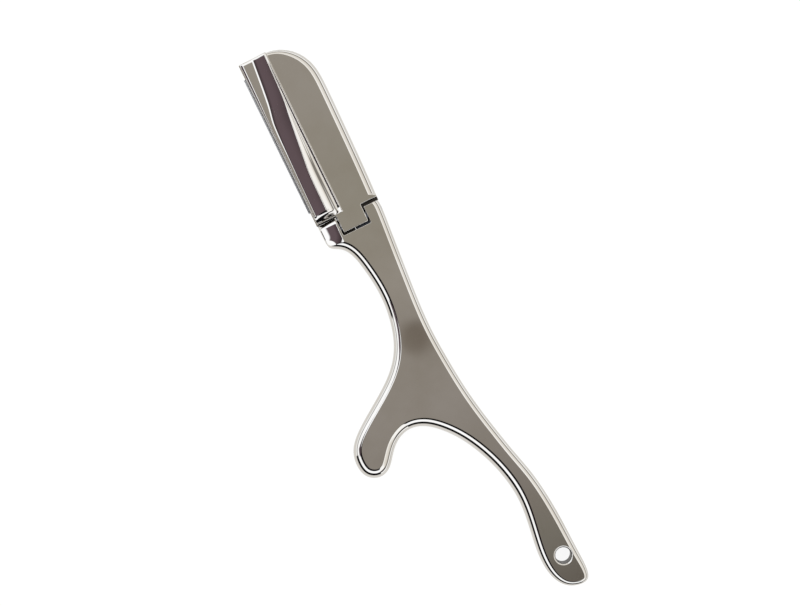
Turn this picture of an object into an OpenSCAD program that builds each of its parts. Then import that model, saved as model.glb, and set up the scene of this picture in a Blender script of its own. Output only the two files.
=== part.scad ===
// Eyebrow razor with a finger hook, a fixed rear jaw and a flip-up front jaw.
// The hanging hole's centre on the back face is the origin. +Y runs to the tip,
// +X to the spine side, +Z to the front face. All sizes are in millimetres.

/* [Handle] */
// From the hanging hole's centre to the top of the fork arms
handle_l = 100.3; // [92:0.1:112]
// Thickness of the handle between its flat faces
handle_t = 5; // [4.7:0.1:6]
// Width of the tail at the hanging hole
tail_w = 9.3; // [8.5:0.1:12]
// Width of the neck where it is slimmest
neck_w = 8.5; // [8:0.1:10]
// Distance of the neck's centre line from the head's spine edge
neck_inset = 6.6; // [6:0.1:7.5]
// Reach of the finger hook from the neck's centre line
hook_l = 28; // [24:0.5:36]
// Radius of the front edges at their fullest
edge_r = 2; // [0.8:0.1:2.1]
// Radius of the back edges at their fullest
back_r = 1.2; // [0.5:0.1:1.8]
// Radius of the hanging hole
hole_r = 2; // [1.2:0.1:2.5]
// Radius that rounds both rims of the hanging hole
hole_rim_r = 0.5; // [0.2:0.1:0.8]

/* [Head] */
// Width of the head from the front lip to the spine edge
head_w = 17.1; // [16.5:0.1:20]
// Sideways place of the spine edge from the hanging hole's centre
spine_x = -2; // [-4:0.1:0]
// Thickness of the rear jaw
rear_t = 2.4; // [2.1:0.1:2.6]
// How far the rear lip stands out beyond the front lip
rear_lip = 0.35; // [0.2:0.05:0.5]
// How far the rear jaw's tip stands out beyond the front jaw's tip
rear_tip = 0.3; // [0.1:0.05:0.6]
// Radius that rounds the back of the rear lip
lip_back_r = 3.2; // [2.8:0.1:5]
// Thickness of the rear lip's square edge
lip_edge_t = 0.55; // [0.3:0.05:1]
// Radius of the front jaw's rounded spine edge
jaw_edge_r = 1.9; // [0.5:0.05:2.2]

/* [Guard rib] */
// Width of the guard rib on the front jaw
rib_w = 7.3; // [5.5:0.1:8.5]
// Height of the rib above the flat, at the heel where it is highest
rib_h = 1.5; // [0.8:0.1:2]
// Length of the slope that ends the rib at its heel
rib_slope = 2; // [1:0.1:4]

/* [Hinge] */
// Radius of the hinge pin
pin_r = 0.7; // [0.5:0.05:0.9]
// Running clearance between the pin and the tongue's bore
pin_gap = 0.05; // [0.02:0.01:0.09]
// Radius of the tongue's knuckle around the pin
knuckle_r = 1.6; // [1.4:0.05:1.7]
// Width of the tongue between the fork arms
tongue_w = 6.8; // [5.5:0.1:8]
// Gap between the tongue and each fork arm
side_gap = 0.4; // [0.3:0.05:0.6]
// Gap between the tongue's end and the handle
end_gap = 0.65; // [0.6:0.05:0.9]
// How far the right fork arm reaches past the hinge axis
arm_reach = 2.1; // [1.8:0.1:2.3]
// From the hinge axis to the shoulders of both jaws
shoulder_d = 3; // [2.9:0.1:3.6]
// How far the left fork arm reaches past the hinge axis
left_reach = 2.7; // [2.2:0.05:2.75]
// Radius that rounds the left arm's end
left_end_r = 1.5; // [0.9:0.05:1.6]
// Depth of the pin in the left arm
pin_seat = 3; // [1.5:0.1:4]
// Thickness of the friction washers
washer_t = 0.3; // [0.15:0.05:0.3]
// Outer radius of the friction washers
washer_r = 1.45; // [1.2:0.05:1.5]

/* [Blade] */
// Length of the half blade
blade_l = 43; // [38:0.1:50]
// Width of the half blade
blade_w = 11; // [10:0.1:12]
// Clearance of the head beyond each end of the blade
blade_end_gap = 0.75; // [0.5:0.05:2]
// Thickness of the blade
blade_t = 0.1; // [0.08:0.01:0.15]
// How far the cutting edge stands out beyond the rear lip
blade_reveal = 0.4; // [0.1:0.05:0.8]
// Width of the ground bevels at the cutting edge
bevel_w = 0.45; // [0.3:0.05:1.2]
// Length of the cut-away corner at each end of the cutting edge
corner_l = 2.85; // [2:0.05:4]
// Depth of the cut-away corners across the blade
corner_w = 3.7; // [2.5:0.1:4.5]
// Depth of the half slot in the blade's back edge
slot_w = 1.2; // [0.8:0.1:1.6]
// Depth of the three stud notches in the blade's back edge
notch_w = 2.7; // [2.4:0.1:3.2]
// Distance from the middle stud to each outer stud
stud_pitch = 13; // [11:0.1:14]
// Radius of the middle stud
middle_stud_r = 2.4; // [1.6:0.05:2.5]
// Radius of the outer studs
outer_stud_r = 1.9; // [1.2:0.05:2.2]
// Height of the studs above the blade
stud_rise = 0.6; // [0.3:0.05:0.9]
// Depth of the studs' pressed shanks in the rear jaw
stud_seat = 1.6; // [1:0.1:1.8]

/* [Tang and screws] */
// Width of the rear jaw's tang
tang_w = 4.4; // [4.2:0.1:5]
// Length of the tang from the hinge axis to its end
tang_l = 17.2; // [16:0.1:20]
// Thickness of the leaf spring
spring_t = 0.4; // [0.25:0.05:0.45]
// Width of the leaf spring
spring_w = 3.6; // [3:0.1:4]
// Radius of the screws' threaded shanks
screw_r = 1; // [0.8:0.05:1.1]
// Radius of the screws' countersunk heads
screw_head_r = 1.8; // [1.5:0.05:1.9]
// Height of the screws' countersunk heads
screw_head_h = 0.8; // [0.6:0.05:0.9]
// Depth of the screws' threads in the handle
thread_l = 2.3; // [1.5:0.1:2.4]
// Distance between the two screws
screw_pitch = 7; // [6:0.1:9]

/* [Hidden] */

// Clearances and fits
blade_gap = 0.02;      // between the blade and each jaw
seat_gap = 0.02;       // between clamped flat parts
fit_gap = 0.1;         // around the tang, the studs and the screws' shanks
head_gap = 0.03;       // around the screws' countersunk heads
press = 0.01;          // radial overlap of a press fit
overrun = 1;           // how far a cut runs past the face it opens
blend = 0.6;           // how far fused solids run into each other

// Places that several pieces share
head_l = blade_l + 2 * blade_end_gap;
lip_x = spine_x - head_w;
neck_x = spine_x - neck_inset;
hinge_y = handle_l - arm_reach;
hinge_z = handle_t - knuckle_r;
tongue_x = (lip_x + spine_x) / 2;
recess_w = tongue_w + 2 * side_gap;
shoulder_y = hinge_y + shoulder_d;
arm_x = lip_x - rear_lip / 2;
rear_x = lip_x - rear_lip;
edge_x = rear_x - blade_reveal;
blade_z = rear_t + blade_gap;
jaw_z = blade_z + blade_t + blade_gap;
blade_y = shoulder_y + head_l / 2;
blade_back_x = edge_x + blade_w;
spring_top = handle_t - 2 * knuckle_r - seat_gap;
tang_t = spring_top - spring_t;
pocket_t = spring_top + seat_gap;
recess_x = tongue_x - recess_w / 2;
recess_z = hinge_z - knuckle_r - fit_gap;
lip_run = sqrt(pow(lip_back_r, 2) - pow(lip_back_r - rear_t + lip_edge_t, 2));
screw_y = hinge_y - tang_l + tang_w / 2 + screw_head_r / 2;

// Facets of round and free-form surfaces
round_sides = 48;
curve_steps = 3;
edge_steps = 4;
back_steps = 2;

// Uniform cubic B-spline through a closed list of control points
function spline_weights(t) = [pow(1 - t, 3), 3 * pow(t, 3) - 6 * pow(t, 2) + 4,
    -3 * pow(t, 3) + 3 * pow(t, 2) + 3 * t + 1, pow(t, 3)] / 6;
function spline_point(c, i, t) = let (n = len(c), w = spline_weights(t))
    w[0] * c[i] + w[1] * c[(i + 1) % n] + w[2] * c[(i + 2) % n] + w[3] * c[(i + 3) % n];
function spline(c, steps) = [for (i = [0:len(c) - 1], s = [0:steps - 1]) spline_point(c, i, s / steps)];

// Outward unit normal of a counter-clockwise outline at point i
function outward(p, i) = let (n = len(p), d = p[(i + 1) % n] - p[(i + n - 1) % n], l = norm([d[0], d[1]]))
    [d[1] / l, -d[0] / l];

// One ring of a lofted outline: each point is [x, y, share of the rounding]
function ring(p, inset, depth, z) = [for (i = [0:len(p) - 1]) let (n = outward(p, i), r = p[i][2])
    [p[i][0] - n[0] * inset * r, p[i][1] - n[1] * inset * r, z - depth * r]];

// Faces of a flat cap as a ladder between two chains of points. Each rung joins a place in the left
// chain to one in the right chain, and the points between two rungs are shared out evenly.
function ladder(left, right, rungs) = [for (k = [0:len(rungs) - 2]) let (
        a = rungs[k],
        d = rungs[k + 1] - a,
        m = max(d))
    for (s = [0:m - 1]) let (
        l0 = left[a[0] + floor(s * d[0] / m)],
        l1 = left[a[0] + floor((s + 1) * d[0] / m)],
        r0 = right[a[1] + floor(s * d[1] / m)],
        r1 = right[a[1] + floor((s + 1) * d[1] / m)])
    l0 == l1 ? [l0, r1, r0] : r0 == r1 ? [l0, l1, r0] : [l0, l1, r1, r0]];

// Faces of a solid that is made of rings of n points, from the lowest to the highest
function loft_faces(rings, n, caps) = concat(
    caps,
    [for (k = [0:rings - 2], i = [0:n - 1]) let (j = (i + 1) % n, a = k * n, b = a + n)
        each [[a + i, b + i, b + j], [a + i, b + j, a + j]]],
    [for (c = caps) [for (i = [len(c) - 1:-1:0]) (rings - 1) * n + c[i]]]);
function whole_cap(n) = [[for (i = [0:n - 1]) i]];

// Solid between z0 and z1 whose lower and upper edges are rounded by r0 and r1
module rounded_plate(p, z0, z1, r0, r1, caps) {
    low = r0 > 0 ? [for (s = [0:back_steps - 1]) let (a = 90 * (1 - s / back_steps))
        ring(p, r0 * (1 - cos(a)), -r0 * (1 - sin(a)), z0)] : [];
    base = [ring(p, 0, -r0, z0)];
    high = r1 > 0 ? [for (s = [0:edge_steps]) let (a = 90 * s / edge_steps)
        ring(p, r1 * (1 - cos(a)), r1 * (1 - sin(a)), z1)] : [ring(p, 0, 0, z1)];
    rings = concat(low, base, high);
    polyhedron(points = [for (r = rings) each r], faces = loft_faces(len(rings), len(p), caps),
        convexity = 6);
}

// Profile in the YZ plane carried along X from x0 over a width
module along_x(x0, width) {
    translate([x0, 0, 0]) rotate([90, 0, 90]) linear_extrude(width) children();
}

// Profile in the XZ plane carried along Y from y0 over a length
module along_y(y0, length) {
    translate([0, y0 + length, 0]) rotate([90, 0, 0]) linear_extrude(length) children();
}

// Cylinder along X from x0 to x1 on the hinge axis
module hinge_rod(x0, x1, r) {
    translate([x0, hinge_y, hinge_z]) rotate([0, 90, 0]) cylinder(h = x1 - x0, r = r, $fn = round_sides);
}

// Flat bar along Y with a round lower end, centred on the neck
module neck_bar(y0, y1, width, z0, z1) {
    r = width / 2;
    translate([neck_x, y0 + r, z0]) cylinder(h = z1 - z0, r = r, $fn = round_sides);
    translate([neck_x - r, y0 + r, z0]) cube([width, y1 - y0 - r, z1 - z0]);
}

// Both screw places, the lower one first
module at_screws() {
    for (k = [0:1]) translate([neck_x, screw_y + k * screw_pitch, 0]) children();
}

// All three stud places: which stud it is, from the heel to the tip, is k
function stud_r(k) = k == 0 ? middle_stud_r : outer_stud_r;
function stud_place(k) = [blade_back_x - notch_w + fit_gap / 2 + stud_r(k), blade_y + k * stud_pitch, 0];

// Control points of the handle's outline, counter-clockwise from the left fork arm.
// Each row gives a share across, a share of handle_l along and a share of the edge rounding.
arm_shares = [[1.03, 1], [0.997, 1], [0.969, 1], [0.943, 1]];
left_neck_shares = [[-0.988, 0.934, 1], [-0.79, 0.92, 1], [-0.647, 0.892, 1], [-0.56, 0.852, 1],
    [-0.488, 0.808, 1], [-0.476, 0.763, 1], [-0.535, 0.718, 1], [-0.67, 0.673, 1]];
hook_shares = [[0.275, 0.63, 1], [0.402, 0.59, 1], [0.581, 0.554, 1], [0.766, 0.52, 1], [0.904, 0.491, 1],
    [0.987, 0.462, 1], [1.013, 0.425, 1], [0.986, 0.389, 1], [0.871, 0.37, 1], [0.754, 0.379, 1],
    [0.675, 0.41, 1], [0.582, 0.439, 1], [0.443, 0.454, 1], [0.3, 0.443, 1], [0.171, 0.412, 1],
    [0.05, 0.369, 1], [-0.043, 0.319, 1]];
tail_shares = [[-0.591, 0.269, 1], [-0.452, 0.214, 1], [-0.409, 0.165, 1], [-0.462, 0.115, 1],
    [-0.548, 0.065, 1], [-0.613, 0.02, 1], [-0.581, -0.032, 0.9], [-0.344, -0.073, 0.7],
    [0.04, -0.086, 0.5], [0.355, -0.085, 0.5], [0.435, -0.055, 0.6], [0.412, -0.01, 0.75],
    [0.4, 0.04, 0.8], [0.38, 0.095, 0.8], [0.328, 0.155, 0.8], [0.231, 0.219, 0.8]];
spine_shares = [[1.03, 0.289, 0.8], [0.847, 0.359, 0.8], [0.671, 0.429, 0.8], [0.553, 0.499, 0.8],
    [0.485, 0.568, 0.8], [0.43, 0.638, 0.8], [0.446, 0.708, 0.8], [0.51, 0.778, 0.8],
    [0.575, 0.847, 0.8], [0.64, 0.912, 0.8], [0.705, 0.972, 0.8], [0.725, 1.037, 0.8]];
// The pin ends just inside the right arm's spine side
pin_end_x = neck_x + spine_shares[last(spine_shares)][0] * neck_w - pin_r / 4;
handle_outline = spline(concat(
    [for (s = arm_shares) [arm_x, s[0] * handle_l, s[1]]],
    [for (s = left_neck_shares) [neck_x + s[0] * neck_w, s[1] * handle_l, s[2]]],
    [for (s = hook_shares) [neck_x - s[0] * hook_l, s[1] * handle_l, s[2]]],
    [for (s = tail_shares) [s[0] * tail_w, s[1] * handle_l, s[2]]],
    [for (s = spine_shares) [neck_x + s[0] * neck_w, s[1] * handle_l, s[2]]]), curve_steps);

// Rungs across the handle's flat faces, each from a point on the left to one on the right. They are
// counted in steps of one control point, counter-clockwise from the first. The hook leaves the body
// between its two root points, and a ladder ends at the hook's tip and at the tail's end.
handle_rung_steps = [[1, 54], [5, 53], [6, 52], [8, 51], [9, 50], [11, 49], [24, 46], [26, 45], [28, 44],
    [29, 43], [30, 42], [32, 41], [33, 40], [34, 39], [35, 38]];
hook_root_steps = [11, 24];
hook_tip_steps = 17;
tail_end_steps = 36;
function at_control(steps) = curve_steps * steps;
function last(chain) = len(chain) - 1;
top_point = last(handle_outline) - curve_steps;
body_left = [each [top_point + 1:last(handle_outline)], each [0:at_control(hook_root_steps[0])],
    each [at_control(hook_root_steps[1]):at_control(tail_end_steps)]];
body_right = [each [top_point:-1:at_control(tail_end_steps) + 1]];
hook_upper = [each [at_control(hook_root_steps[0]):at_control(hook_tip_steps) + 1]];
hook_lower = [each [at_control(hook_root_steps[1]):-1:at_control(hook_tip_steps) + 2]];
function place(steps, chain) = search(at_control(steps), chain)[0];
handle_caps = concat(
    ladder(body_left, body_right, concat([[0, 0]],
        [for (r = handle_rung_steps) [place(r[0], body_left), place(r[1], body_right)]],
        [[last(body_left), last(body_right)]])),
    ladder(hook_upper, hook_lower, [[0, 0], [last(hook_upper), last(hook_lower)]]));

// Control points of the head's outline, counter-clockwise from below the spine's shoulder.
// Each row gives shares of head_w from the spine, of head_l from the shoulders, and of the rounding.
head_shares = [[-0.06, -0.25, 1], [-0.045, -0.1, 1], [-0.028, 0.04, 1], [-0.012, 0.2, 1], [-0.002, 0.36, 1],
    [0.005, 0.52, 1], [0.012, 0.67, 1], [0.009, 0.787, 1], [-0.053, 0.872, 1], [-0.199, 0.946, 0.85],
    [-0.421, 0.996, 0.5], [-0.673, 1.003, 0.4], [-0.936, 1, 0.4], [-1.3, 1, 0.4], [-1.5, 0.9, 0.4],
    [-1.5, 0.4, 0.4], [-1.5, -0.1, 0.4], [-1.3, -0.3, 0.4], [-0.6, -0.35, 0.4]];
head_outline = spline([for (s = head_shares) [spine_x + s[0] * head_w, shoulder_y + s[1] * head_l, s[2]]],
    curve_steps);
rear_outline = [for (i = [0:len(head_outline) - 1]) let (p = head_outline[i])
    [p[0], p[1] + rear_tip * max(0, outward(head_outline, i)[1]), p[2]]];
// A ladder across the jaws' flat faces runs up to the end of the spine side
head_top_steps = 11;
head_right = [each [0:at_control(head_top_steps)]];
head_left = [each [last(head_outline):-1:at_control(head_top_steps) + 1]];
head_caps = ladder(head_left, head_right, [[0, 0], [last(head_left), last(head_right)]]);

// Guard rib at stations along the head. Each row of rib_across_shares gives shares of rib_w from the
// lip, and the same row of rib_height_shares gives shares of rib_h: the lip, the crease, the roll, the
// crest, which slants to the inner side towards the tip, the valley, the bead and its foot.
rib_station_shares = [0, 0.243, 0.422, 0.602, 0.737, 1];
rib_across_shares = [
    [0, 0.06, 0.14, 0.3, 0.48, 0.575, 0.671, 0.842, 0.9, 0.952, 1],
    [0, 0.06, 0.14, 0.315, 0.493, 0.589, 0.671, 0.842, 0.9, 0.952, 1],
    [0, 0.06, 0.15, 0.37, 0.589, 0.671, 0.726, 0.849, 0.9, 0.952, 1],
    [0, 0.07, 0.18, 0.452, 0.726, 0.795, 0.836, 0.87, 0.91, 0.952, 1],
    [0, 0.1, 0.35, 0.63, 0.84, 0.87, 0.89, 0.905, 0.925, 0.95, 1],
    [0, 0.15, 0.46, 0.726, 0.85, 0.88, 0.895, 0.91, 0.925, 0.95, 1]];
rib_height_shares = [
    [0.48, 0.545, 0.57, 0.8, 0.947, 0.98, 0.907, 0.4, 0.28, 0.347, 0],
    [0.44, 0.505, 0.53, 0.78, 0.933, 0.967, 0.9, 0.453, 0.347, 0.4, 0],
    [0.347, 0.41, 0.44, 0.733, 0.907, 0.933, 0.887, 0.6, 0.52, 0.567, 0],
    [0.213, 0.265, 0.3, 0.62, 0.833, 0.853, 0.833, 0.773, 0.727, 0.74, 0],
    [0.147, 0.19, 0.22, 0.533, 0.71, 0.733, 0.745, 0.75, 0.75, 0.735, 0],
    [0.133, 0.175, 0.19, 0.467, 0.595, 0.62, 0.633, 0.64, 0.642, 0.63, 0]];

// Cut that rounds one rim of the hanging hole, as a row of cones
module hanging_rim() {
    rotate_extrude($fn = round_sides) polygon(concat(
        [[0, overrun], [0, -hole_rim_r], [hole_r, -hole_rim_r]],
        [for (s = [1:edge_steps]) let (a = 90 * s / edge_steps)
            [hole_r + hole_rim_r * (1 - cos(a)), -hole_rim_r * (1 - sin(a))]],
        [[hole_r + hole_rim_r + overrun, overrun]]));
}

// Profile that is cut off to round the left arm's end
module left_end_cut() {
    translate([hinge_y + left_reach - left_end_r, handle_t - left_end_r]) difference() {
        square(left_end_r + overrun);
        circle(left_end_r, $fn = round_sides);
    }
}

module handle() {
    color("silver") difference() {
        rounded_plate(handle_outline, 0, handle_t, back_r, edge_r, handle_caps);
        // The right arm and the recess end square, the left arm reaches further and ends round
        translate([recess_x, handle_l, -overrun]) cube([head_w, head_l, handle_t + 2 * overrun]);
        translate([recess_x - head_w, hinge_y + left_reach, -overrun])
            cube([head_w, head_l, handle_t + 2 * overrun]);
        along_x(recess_x - head_w, head_w) left_end_cut();
        // The tongue's recess, whose floor lies just under the knuckle
        translate([recess_x, hinge_y - knuckle_r - end_gap, recess_z]) cube([recess_w, head_l, handle_t]);
        // Pocket for the tang and the leaf spring in the back face
        translate([0, 0, -overrun]) neck_bar(hinge_y - tang_l - fit_gap, handle_l + overrun,
            tang_w + 2 * fit_gap, 0, pocket_t + overrun);
        at_screws() cylinder(h = pocket_t + thread_l + fit_gap, r = screw_r - press, $fn = round_sides);
        hinge_rod(recess_x - pin_seat, spine_x + overrun, pin_r - press);
        translate([0, 0, -overrun]) cylinder(h = handle_t + 2 * overrun, r = hole_r, $fn = round_sides);
        translate([0, 0, handle_t]) hanging_rim();
        mirror([0, 0, 1]) hanging_rim();
    }
}

module rear_jaw() {
    color("gainsboro") difference() {
        union() {
            difference() {
                rounded_plate(rear_outline, 0, rear_t, back_r, 0, head_caps);
                translate([rear_x - 2 * head_w, shoulder_y - head_l, -overrun])
                    cube([2 * head_w, 3 * head_l, rear_t + 2 * overrun]);
                // The shoulder closes up to the handle behind the joint's gaps
                translate([rear_x - overrun, hinge_y + left_reach + fit_gap - head_l, -overrun])
                    cube([recess_x + fit_gap - rear_x + overrun, head_l, rear_t + 2 * overrun]);
                translate([rear_x, handle_l + fit_gap - head_l, -overrun])
                    cube([2 * head_w, head_l, rear_t + 2 * overrun]);
                // The back of the lip is rounded off along the whole head
                along_y(shoulder_y - overrun, head_l + rear_tip + 2 * overrun) difference() {
                    translate([rear_x - overrun, -overrun])
                        square([overrun + lip_run - blend / 2, overrun + rear_t - lip_edge_t]);
                    translate([rear_x + lip_run, lip_back_r]) circle(lip_back_r, $fn = 2 * round_sides);
                }
            }
            neck_bar(hinge_y - tang_l, shoulder_y + blend, tang_w, 0, tang_t);
        }
        at_screws() {
            translate([0, 0, -overrun])
                cylinder(h = rear_t + overrun, r = screw_r + fit_gap, $fn = round_sides);
            screw_head_cut();
        }
        for (k = [-1:1]) translate(stud_place(k)) translate([0, 0, rear_t - stud_seat])
            cylinder(h = rear_t, r = stud_r(k) - press, $fn = round_sides);
    }
}

module guard_rib() {
    // The first sections are the slope at the heel, the others lie at the stations
    foot_y = shoulder_y + seat_gap;
    slope_shares = [[0, 0], [0.45, 0.72], [0.8, 0.96]];
    sections = concat(
        [for (s = slope_shares) [foot_y + s[0] * rib_slope, s[1], 0]],
        [for (k = [0:last(rib_station_shares)])
            [max(foot_y + rib_slope, shoulder_y + rib_station_shares[k] * head_l), 1, k]]);
    columns = len(rib_across_shares[0]);
    points = [for (s = sections) each concat(
        [[lip_x + rib_w, s[0], jaw_z + blend]],
        [[lip_x, s[0], jaw_z + blend]],
        [for (i = [0:columns - 1]) [lip_x + rib_w * rib_across_shares[s[2]][i], s[0],
            handle_t + rib_h * rib_height_shares[s[2]][i] * s[1]]])];
    polyhedron(points = points, faces = loft_faces(len(sections), columns + 2, whole_cap(columns + 2)),
        convexity = 6);
}

module tongue_profile() {
    // Below the axis only the round knuckle stays behind it, so that it clears the spring as it turns
    corner_r = knuckle_r / 5;
    translate([hinge_y, hinge_z]) {
        circle(knuckle_r, $fn = round_sides);
        translate([-knuckle_r, 0]) square([knuckle_r, knuckle_r - corner_r]);
        translate([corner_r - knuckle_r, 0]) square([knuckle_r, knuckle_r]);
        translate([corner_r - knuckle_r, knuckle_r - corner_r]) circle(corner_r, $fn = round_sides);
        translate([0, jaw_z - hinge_z]) square([shoulder_d + blend, handle_t - jaw_z]);
    }
}

module front_jaw() {
    color("lightgray") difference() {
        union() {
            difference() {
                rounded_plate(head_outline, jaw_z, handle_t, 0, jaw_edge_r, head_caps);
                translate([lip_x - 2 * head_w, shoulder_y - head_l, jaw_z - overrun])
                    cube([2 * head_w, 3 * head_l, handle_t + overrun]);
                translate([lip_x - overrun, shoulder_y - head_l, jaw_z - overrun])
                    cube([2 * head_w, head_l, handle_t + overrun]);
            }
            guard_rib();
            along_x(tongue_x - tongue_w / 2, tongue_w) tongue_profile();
        }
        hinge_rod(tongue_x - tongue_w, tongue_x + tongue_w, pin_r + pin_gap);
        for (k = [-1:1]) translate(stud_place(k)) cylinder(h = blade_z + blade_t + stud_rise + fit_gap,
            r = stud_r(k) + fit_gap, $fn = round_sides);
    }
}

module blade() {
    color("lightsteelblue") intersection() {
        translate([0, 0, blade_z - overrun]) linear_extrude(2 * overrun) difference() {
            translate([edge_x, blade_y - blade_l / 2]) square([blade_w, blade_l]);
            for (k = [-1, 1]) translate([edge_x - overrun, blade_y + k * blade_l / 2 - corner_l])
                square([corner_w + overrun, 2 * corner_l]);
            translate([blade_back_x - slot_w, blade_y - stud_pitch - outer_stud_r - notch_w])
                square([slot_w + overrun, 2 * (stud_pitch + outer_stud_r + notch_w)]);
            for (k = [-1:1]) let (half = stud_r(k) + fit_gap)
                translate([blade_back_x - notch_w, blade_y + k * stud_pitch - half])
                    square([notch_w + overrun, 2 * half]);
        }
        // Both faces are ground down to the cutting edge
        along_y(blade_y - blade_l, 2 * blade_l) translate([edge_x, blade_z])
            polygon([[0, blade_t / 2], [bevel_w, 0], [blade_w, 0], [blade_w, blade_t], [bevel_w, blade_t]]);
    }
}

module hinge_pin() {
    color("dimgray") hinge_rod(recess_x - pin_seat, pin_end_x, pin_r);
}

// Washer in the side gap whose lower side is at x0
module friction_washer(x0) {
    difference() {
        hinge_rod(x0, x0 + washer_t, washer_r);
        hinge_rod(x0 - overrun, x0 + washer_t + overrun, pin_r + pin_gap);
    }
}

module washer_left() {
    color("darkgray") friction_washer(tongue_x - tongue_w / 2 - (side_gap + washer_t) / 2);
}

module washer_right() {
    color("darkgray") friction_washer(tongue_x + tongue_w / 2 + (side_gap - washer_t) / 2);
}

module leaf_spring() {
    color("slategray") difference() {
        neck_bar(hinge_y - tang_l + (tang_w - spring_w) / 2, hinge_y + knuckle_r / 2, spring_w,
            tang_t, spring_top);
        at_screws() cylinder(h = handle_t, r = screw_r + fit_gap, $fn = round_sides);
    }
}

// Space of a countersunk head with its clearance, open to the back
module screw_head_cut() {
    outer = screw_head_r + head_gap;
    translate([0, 0, -overrun]) cylinder(h = overrun + head_gap, r = outer, $fn = round_sides);
    translate([0, 0, head_gap])
        cylinder(h = screw_head_h, r1 = outer, r2 = screw_r + head_gap, $fn = round_sides);
}

module tang_screw(k) {
    slot_wide = screw_head_r / 5;
    slot_deep = screw_head_h / 2;
    translate([neck_x, screw_y + k * screw_pitch, 0]) difference() {
        union() {
            cylinder(h = screw_head_h, r1 = screw_head_r, r2 = screw_r, $fn = round_sides);
            cylinder(h = pocket_t + thread_l, r = screw_r, $fn = round_sides);
        }
        for (a = [0, 90]) rotate([0, 0, a]) translate([-screw_r, -slot_wide / 2, -overrun])
            cube([2 * screw_r, slot_wide, overrun + slot_deep]);
    }
}

module screw_upper() { color("darkgray") tang_screw(1); }

module screw_lower() { color("darkgray") tang_screw(0); }

module stud(k) {
    top = blade_z + blade_t + stud_rise;
    lead = stud_rise / 3;
    translate(stud_place(k)) {
        translate([0, 0, rear_t - stud_seat])
            cylinder(h = top - lead - rear_t + stud_seat, r = stud_r(k), $fn = round_sides);
        translate([0, 0, top - lead])
            cylinder(h = lead, r1 = stud_r(k), r2 = stud_r(k) - lead, $fn = round_sides);
    }
}

module stud_tip() { color("tan") stud(1); }

module stud_middle() { color("tan") stud(0); }

module stud_heel() { color("tan") stud(-1); }

handle();
rear_jaw();
front_jaw();
blade();
hinge_pin();
washer_left();
washer_right();
leaf_spring();
screw_upper();
screw_lower();
stud_tip();
stud_middle();
stud_heel();
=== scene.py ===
"""Looks of an eyebrow razor: a plated handle with a finger hook and a jaw that flips up.

Every length below is in millimetres until a mesh is finished, and a finished mesh is in metres in the
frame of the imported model: +Y runs to the tip, +X to the spine side, +Z out of the front face.
"""
import logging
import math
from collections.abc import Callable, Sequence
from dataclasses import dataclass
from enum import Enum

import bmesh
import bpy
import numpy as np
from mathutils import Matrix, Vector


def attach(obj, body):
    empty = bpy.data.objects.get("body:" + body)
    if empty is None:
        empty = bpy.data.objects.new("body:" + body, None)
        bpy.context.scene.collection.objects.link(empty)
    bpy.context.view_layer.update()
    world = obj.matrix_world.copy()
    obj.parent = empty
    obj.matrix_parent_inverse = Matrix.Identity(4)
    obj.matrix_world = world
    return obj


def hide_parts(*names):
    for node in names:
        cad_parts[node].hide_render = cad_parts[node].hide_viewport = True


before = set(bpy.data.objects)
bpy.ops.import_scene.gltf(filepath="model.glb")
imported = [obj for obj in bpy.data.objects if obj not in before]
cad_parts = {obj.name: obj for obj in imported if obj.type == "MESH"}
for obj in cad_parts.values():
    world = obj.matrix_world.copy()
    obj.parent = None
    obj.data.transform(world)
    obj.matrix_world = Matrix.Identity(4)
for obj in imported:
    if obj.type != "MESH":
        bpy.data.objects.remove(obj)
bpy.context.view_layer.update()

LOG = logging.getLogger("razor")
MM = 0.001
# Edges of a finished mesh that turn by more than this stay sharp.
SMOOTH_ANGLE = math.radians(32)
# Two sides of an outline that turn by less than this, in radians, meet without an arc.
NO_TURN = 1e-3
# Points of a new solid closer than this are one point.
SAME_POINT = 1e-6
# A finished mesh merges points closer than this, so that no sliver of a boolean leaves an open edge.
MERGE_GAP = 2.5e-3
SLIVER = 1e-5
# The radius of a bar's round end stays this much under half its width, so that its two arcs don't touch.
ARC_GAP = 1e-3
# Samples between two control points of an outline.
SPLINE_STEPS = 9
# A cut that goes right through starts at this height, below every part.
BELOW = -1.0
# Cutters, and the tang's root in the head, go on by this or a simple multiple of it past what they meet.
OVERRUN = 1.0
# A face counts as part of a wall when its centre is closer to the wall than this.
NEAR = 0.05
# A face looks along an axis when that part of its normal is larger than this.
FACING = 0.9
# Share of the guard rib's rise by which its roll bulges over a straight slope.
RIB_CROWN = 0.2

Rows = Sequence[Sequence[float]]
Colour = tuple[float, float, float, float]


class Body(Enum):
    """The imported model's bodies that the new pieces ride on."""

    HANDLE = "handle"
    JAW = "front_jaw"


class Side(Enum):
    """Which face of a plate a cut opens."""

    FRONT = 1
    BACK = -1


class Axis(Enum):
    """The axis that a turned solid stands on."""

    X = "X"
    Z = "Z"


class Boolean(Enum):
    """How a solid is joined with another one."""

    CUT = "DIFFERENCE"
    JOIN = "UNION"
    COMMON = "INTERSECT"


# Curves

def spline_loop(controls: np.ndarray, steps: int) -> np.ndarray:
    """Samples a closed uniform cubic B-spline.

    Args:
        controls: control points, one row each.
        steps: samples between two control points.

    Returns:
        The samples, one row each.
    """
    t = (np.arange(steps) / steps)[:, None]
    weights = np.hstack([(1 - t) ** 3, 3 * t**3 - 6 * t**2 + 4, -3 * t**3 + 3 * t**2 + 3 * t + 1, t**3]) / 6
    n = len(controls)
    return np.vstack([weights @ controls[[(i + k) % n for k in range(4)]] for i in range(n)])


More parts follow.
